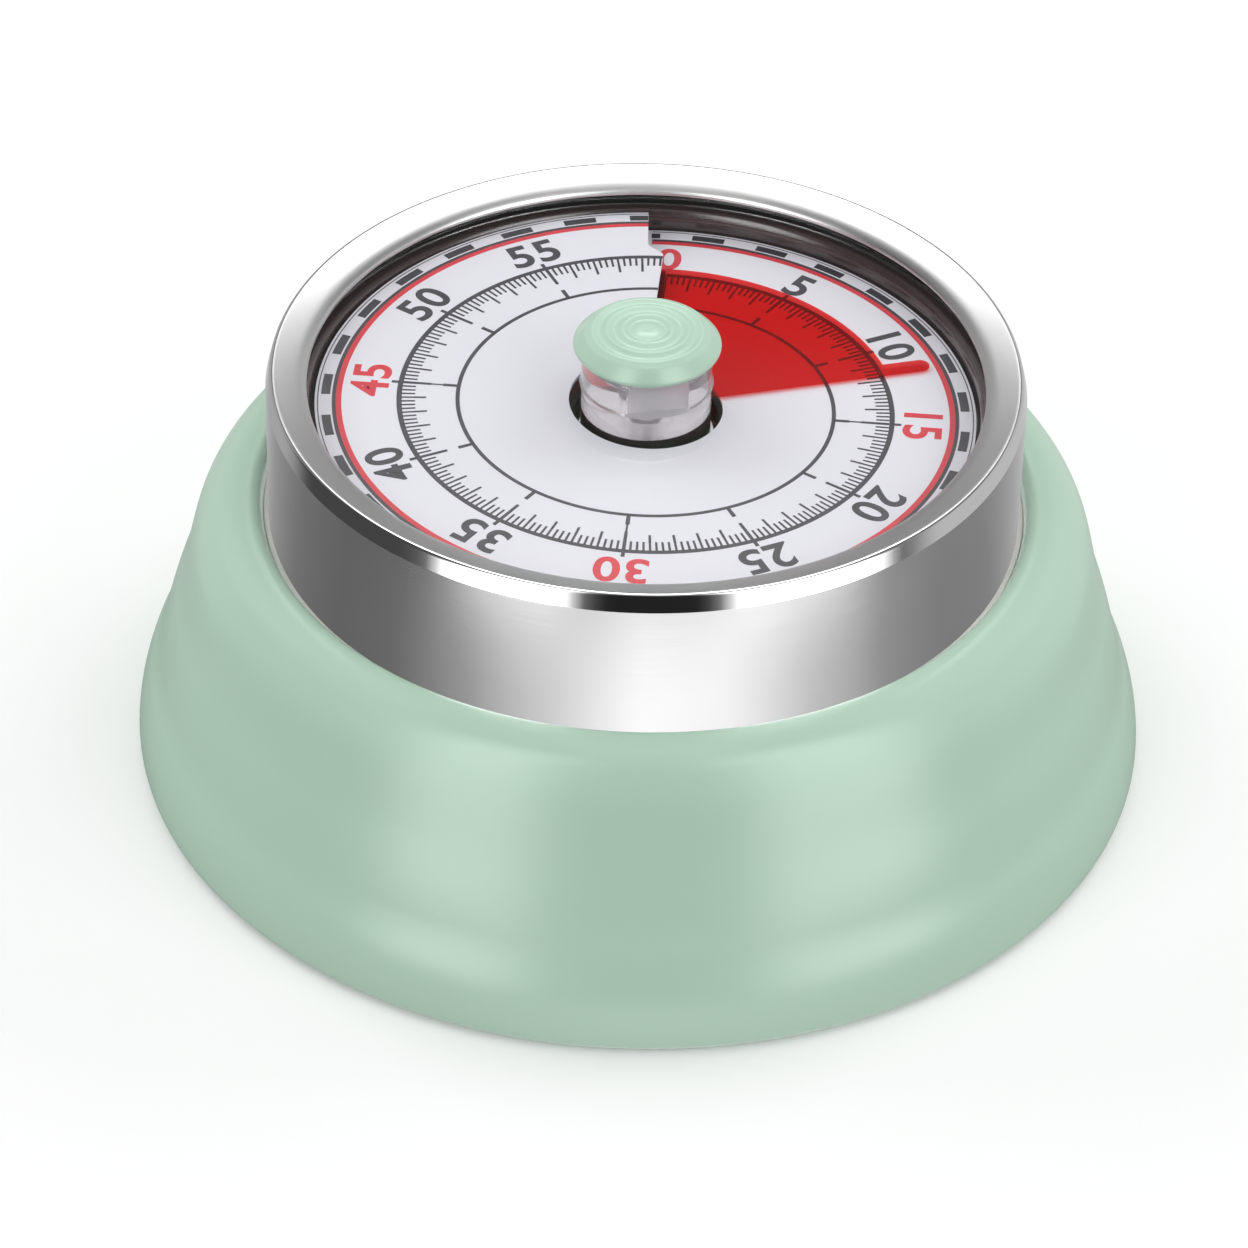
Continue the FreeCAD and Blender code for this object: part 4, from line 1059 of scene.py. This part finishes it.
class TIMER_OT_numbers(bpy.types.Operator):
    """Prints the dial's numbers, tops outward"""

    bl_idname = "timer.numbers"
    bl_label = "Numbers"

    def execute(self, context):
        sizes, colours = context.scene.timer_sizes, context.scene.timer_colours
        for name, numbers, finish in (
            ("dial_numbers", [5, 10, 20, 25, 35, 40, 50, 55], ink("black_ink", colours.black_ink)),
            ("dial_quarter_numbers", [0, 15, 30, 45], ink("red_ink", colours.red_ink)),
        ):
            work = bmesh.new()
            for number in numbers:
                work.from_mesh(self.number(number, sizes.digit_height / MM, sizes.ink / MM))
            mesh = bpy.data.meshes.new(name)
            work.to_mesh(mesh)
            work.free()
            finish_mesh(mesh, 30.0)
            piece = link(name, mesh)
            fill_slots(piece, finish)
            place(piece, "base", "dial_print")
        return {"FINISHED"}

    def number(self, number, height, layer):
        """One number as a mesh laid on the dial."""
        curve = bpy.data.curves.new("number", "FONT")
        curve.body = str(number)
        curve.align_x = "CENTER"
        curve.size = 1.0
        curve.offset = 0.022
        curve.space_character = 1.07
        curve.extrude = 0.5
        curve.resolution_u = 6
        holder = bpy.data.objects.new("number", curve)
        bpy.context.scene.collection.objects.link(holder)
        mesh = bpy.data.meshes.new_from_object(holder.evaluated_get(bpy.context.evaluated_depsgraph_get()))
        bpy.data.objects.remove(holder)
        low = min(vertex.co.y for vertex in mesh.vertices)
        high = max(vertex.co.y for vertex in mesh.vertices)
        middle = (min(vertex.co.x for vertex in mesh.vertices) + max(vertex.co.x for vertex in mesh.vertices)) / 2
        scale = height / (high - low)
        angle = number * 6.0
        turn = math.radians(angle + DIAL_ZERO)
        for vertex in mesh.vertices:
            across = (vertex.co.x - middle) * scale * 1.02
            out = 18.68 + (vertex.co.y - (low + high) / 2) * scale
            x = out * math.sin(turn) + across * math.cos(turn)
            y = out * math.cos(turn) - across * math.sin(turn)
            here = angle + math.degrees(across / out)
            z = DIAL_LOW + DIAL_RISE * here / 360 + (layer if vertex.co.z > 0 else 0.0)
            vertex.co = (x * MM, y * MM, z * MM)
        return mesh


# The film lies this far above the dial, and stays clear of the dial's bore where it runs below it.
FILM_LIFT = 0.3
FILM_TUCK = 5.3


class TIMER_OT_film(bpy.types.Operator):
    """Makes the red film that threads through the dial's slit"""

    bl_idname = "timer.film"
    bl_label = "Film"

    def execute(self, context):
        thickness = 0.12
        tail, steps, tab_steps = READING - 359.0, 358, 6
        film_radius, tab_radius, tab_width, tab_round = 17.0, 20.1, 1.2, 0.6

        def film_spot(radius, angle):
            if radius < FILM_TUCK and angle < 0:
                radius = FILM_TUCK
            return dial_spot(radius, angle, FILM_LIFT)

        tab_turn = math.degrees(tab_width / film_radius)
        angles = [tail + (READING - tab_turn - tail) * step / steps for step in range(steps + 1)]
        angles += [READING - tab_turn * (1 - step / tab_steps) for step in range(1, tab_steps + 1)]
        radii = [4.42, 6.0, 8.0, 10.0, 12.0, 14.0, 16.0, film_radius]
        points = [film_spot(radius, angle) for radius in radii for angle in angles]
        width = len(angles)
        faces = [
            [line * width + step, (line + 1) * width + step, (line + 1) * width + step + 1, line * width + step + 1]
            for line in range(len(radii) - 1) for step in range(width - 1)
        ]
        row = list(range((len(radii) - 1) * width + steps, len(radii) * width))
        centre = tab_radius - tab_round
        for radius in [17.6, 18.2, 18.8, centre, *(centre + tab_round * math.sin(math.radians(a)) for a in (20, 40, 60, 75, 88))]:
            half = tab_width / 2
            if radius > centre:
                half = math.sqrt(max(tab_round ** 2 - (radius - centre) ** 2, 0.0004))
            new = []
            for step in range(tab_steps + 1):
                across = -tab_width / 2 + half * (2 * step / tab_steps - 1)
                new.append(len(points))
                points.append(film_spot(radius, READING + math.degrees(across / radius)))
            faces += [[row[step], new[step], new[step + 1], row[step + 1]] for step in range(tab_steps)]
            row = new
        mesh = bpy.data.meshes.new("film_sheet")
        mesh.from_pydata([(x * MM, y * MM, z * MM) for x, y, z in points], [], faces)
        if mesh.polygons[0].normal.z < 0:
            mesh.flip_normals()
        piece = link("film_sheet", thickened(mesh, thickness))
        fill_slots(piece, film_material(context.scene.timer_colours.film))
        place(piece, "head", "red_film", "red_film")
        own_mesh(piece)
        return {"FINISHED"}


def film_material(tone):
    """Red film that lets the scale show through and hides a little of it."""
    material = new_finish("red_film", Base_Color=tone, IOR=1.45)
    body = shader_of(material)
    roughened(material, noise(material, 300.0, 2.0), 0.22, 0.34)
    bumped(material, noise(material, 120.0), 0.03)
    clear = node(material, "ShaderNodeBsdfTransparent")
    clear.inputs["Color"].default_value = (0.96, 0.24, 0.24, 1.0)
    mix = node(material, "ShaderNodeMixShader")
    out = material.node_tree.nodes["Material Output"]
    mix.inputs["Fac"].default_value = 0.07
    wire(material, clear.outputs["BSDF"], mix.inputs[1])
    wire(material, body.outputs["BSDF"], mix.inputs[2])
    wire(material, mix.outputs["Shader"], out.inputs["Surface"])
    return material


# ---------------------------------------------------------------- nodes kept from the model

KEPT = (
    ("brass", "metal", (0.80, 0.58, 0.25), 0.28, ("great_wheel", "second_wheel", "third_wheel", "escape_wheel", "strike_wheel", "balance_wheel", "spring_post", "plate_pillars")),
    ("plate_steel", "metal", (0.62, 0.62, 0.63), 0.34, ("front_plate", "back_plate", "strike_cam", "hammer_arm", "hammer_flag", "release_lever", "ratchet_wheel")),
    ("bright_steel", "metal", (0.74, 0.74, 0.75), 0.18, (
        "base_screws", "carrier_screws", "plate_screws", "movement_screws", "stop_pin", "bell_screw", "release_stud", "knob_screw",
        "main_arbor", "click_stud", "second_arbor", "third_arbor", "escape_arbor", "strike_arbor", "balance_staff", "pallet_pins",
        "hammer_arbor", "hammer_pins", "click")),
    ("spring_steel", "metal", (0.42, 0.43, 0.47), 0.30, ("mainspring", "release_spring", "click_spring")),
    ("bell_metal", "metal", (0.72, 0.66, 0.56), 0.22, ("bell",)),
    ("magnet_grey", "plastic", (0.07, 0.07, 0.075), 0.55, ("magnet",)),
    ("nylon", "plastic", (0.78, 0.77, 0.72), 0.45, ("glide_ring",)),
    ("dark_plastic", "plastic", (0.055, 0.045, 0.038), 0.38, ("base_plate",)),
)


class TIMER_OT_movement(bpy.types.Operator):
    """Gives the pieces kept from the model their finishes"""

    bl_idname = "timer.movement"
    bl_label = "Movement and underside"

    def execute(self, context):
        for name, kind, tone, roughness, nodes in KEPT:
            if kind == "metal":
                material = metal(name, tone, roughness, 0.05, 7000.0, name != "bright_steel")
            else:
                material = plastic(name, tone, roughness, 0.06, 1800.0, 0.08)
            for part in nodes:
                fill_slots(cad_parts[part], material)
        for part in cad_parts.values():
            part.visible_glossy = False
        rubber = plastic("rubber_foot", (0.03, 0.03, 0.032), 0.7, 0.2, 2500.0, 0.15)
        fill_slots(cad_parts["foot_ring"], rubber)
        return {"FINISHED"}


# ---------------------------------------------------------------- panel and running

STEPS = (
    TIMER_OT_stage, TIMER_OT_base, TIMER_OT_ring, TIMER_OT_cup, TIMER_OT_dial, TIMER_OT_scale, TIMER_OT_numbers, TIMER_OT_film,
    TIMER_OT_window, TIMER_OT_knob, TIMER_OT_movement,
)


class TIMER_PT_panel(bpy.types.Panel):
    """Lists the timer's settings and steps"""

    bl_idname = "TIMER_PT_panel"
    bl_label = "Kitchen timer"
    bl_space_type = "VIEW_3D"
    bl_region_type = "UI"
    bl_category = "Timer"

    def draw(self, context):
        for group in (context.scene.timer_sizes, context.scene.timer_colours):
            box = self.layout.box()
            for key in group.__annotations__:
                box.prop(group, key)
        for step in STEPS:
            self.layout.operator(step.bl_idname)


CLASSES = (TimerSizes, TimerColours, *STEPS, TIMER_PT_panel)


def register():
    for one in CLASSES:
        bpy.utils.register_class(one)
    bpy.types.Scene.timer_sizes = PointerProperty(type=TimerSizes)
    bpy.types.Scene.timer_colours = PointerProperty(type=TimerColours)


def unregister():
    del bpy.types.Scene.timer_sizes
    del bpy.types.Scene.timer_colours
    for one in reversed(CLASSES):
        bpy.utils.unregister_class(one)


def main():
    register()
    for step in STEPS:
        area, name = step.bl_idname.split(".")
        getattr(getattr(bpy.ops, area), name)()


if __name__ == "__main__":
    main()
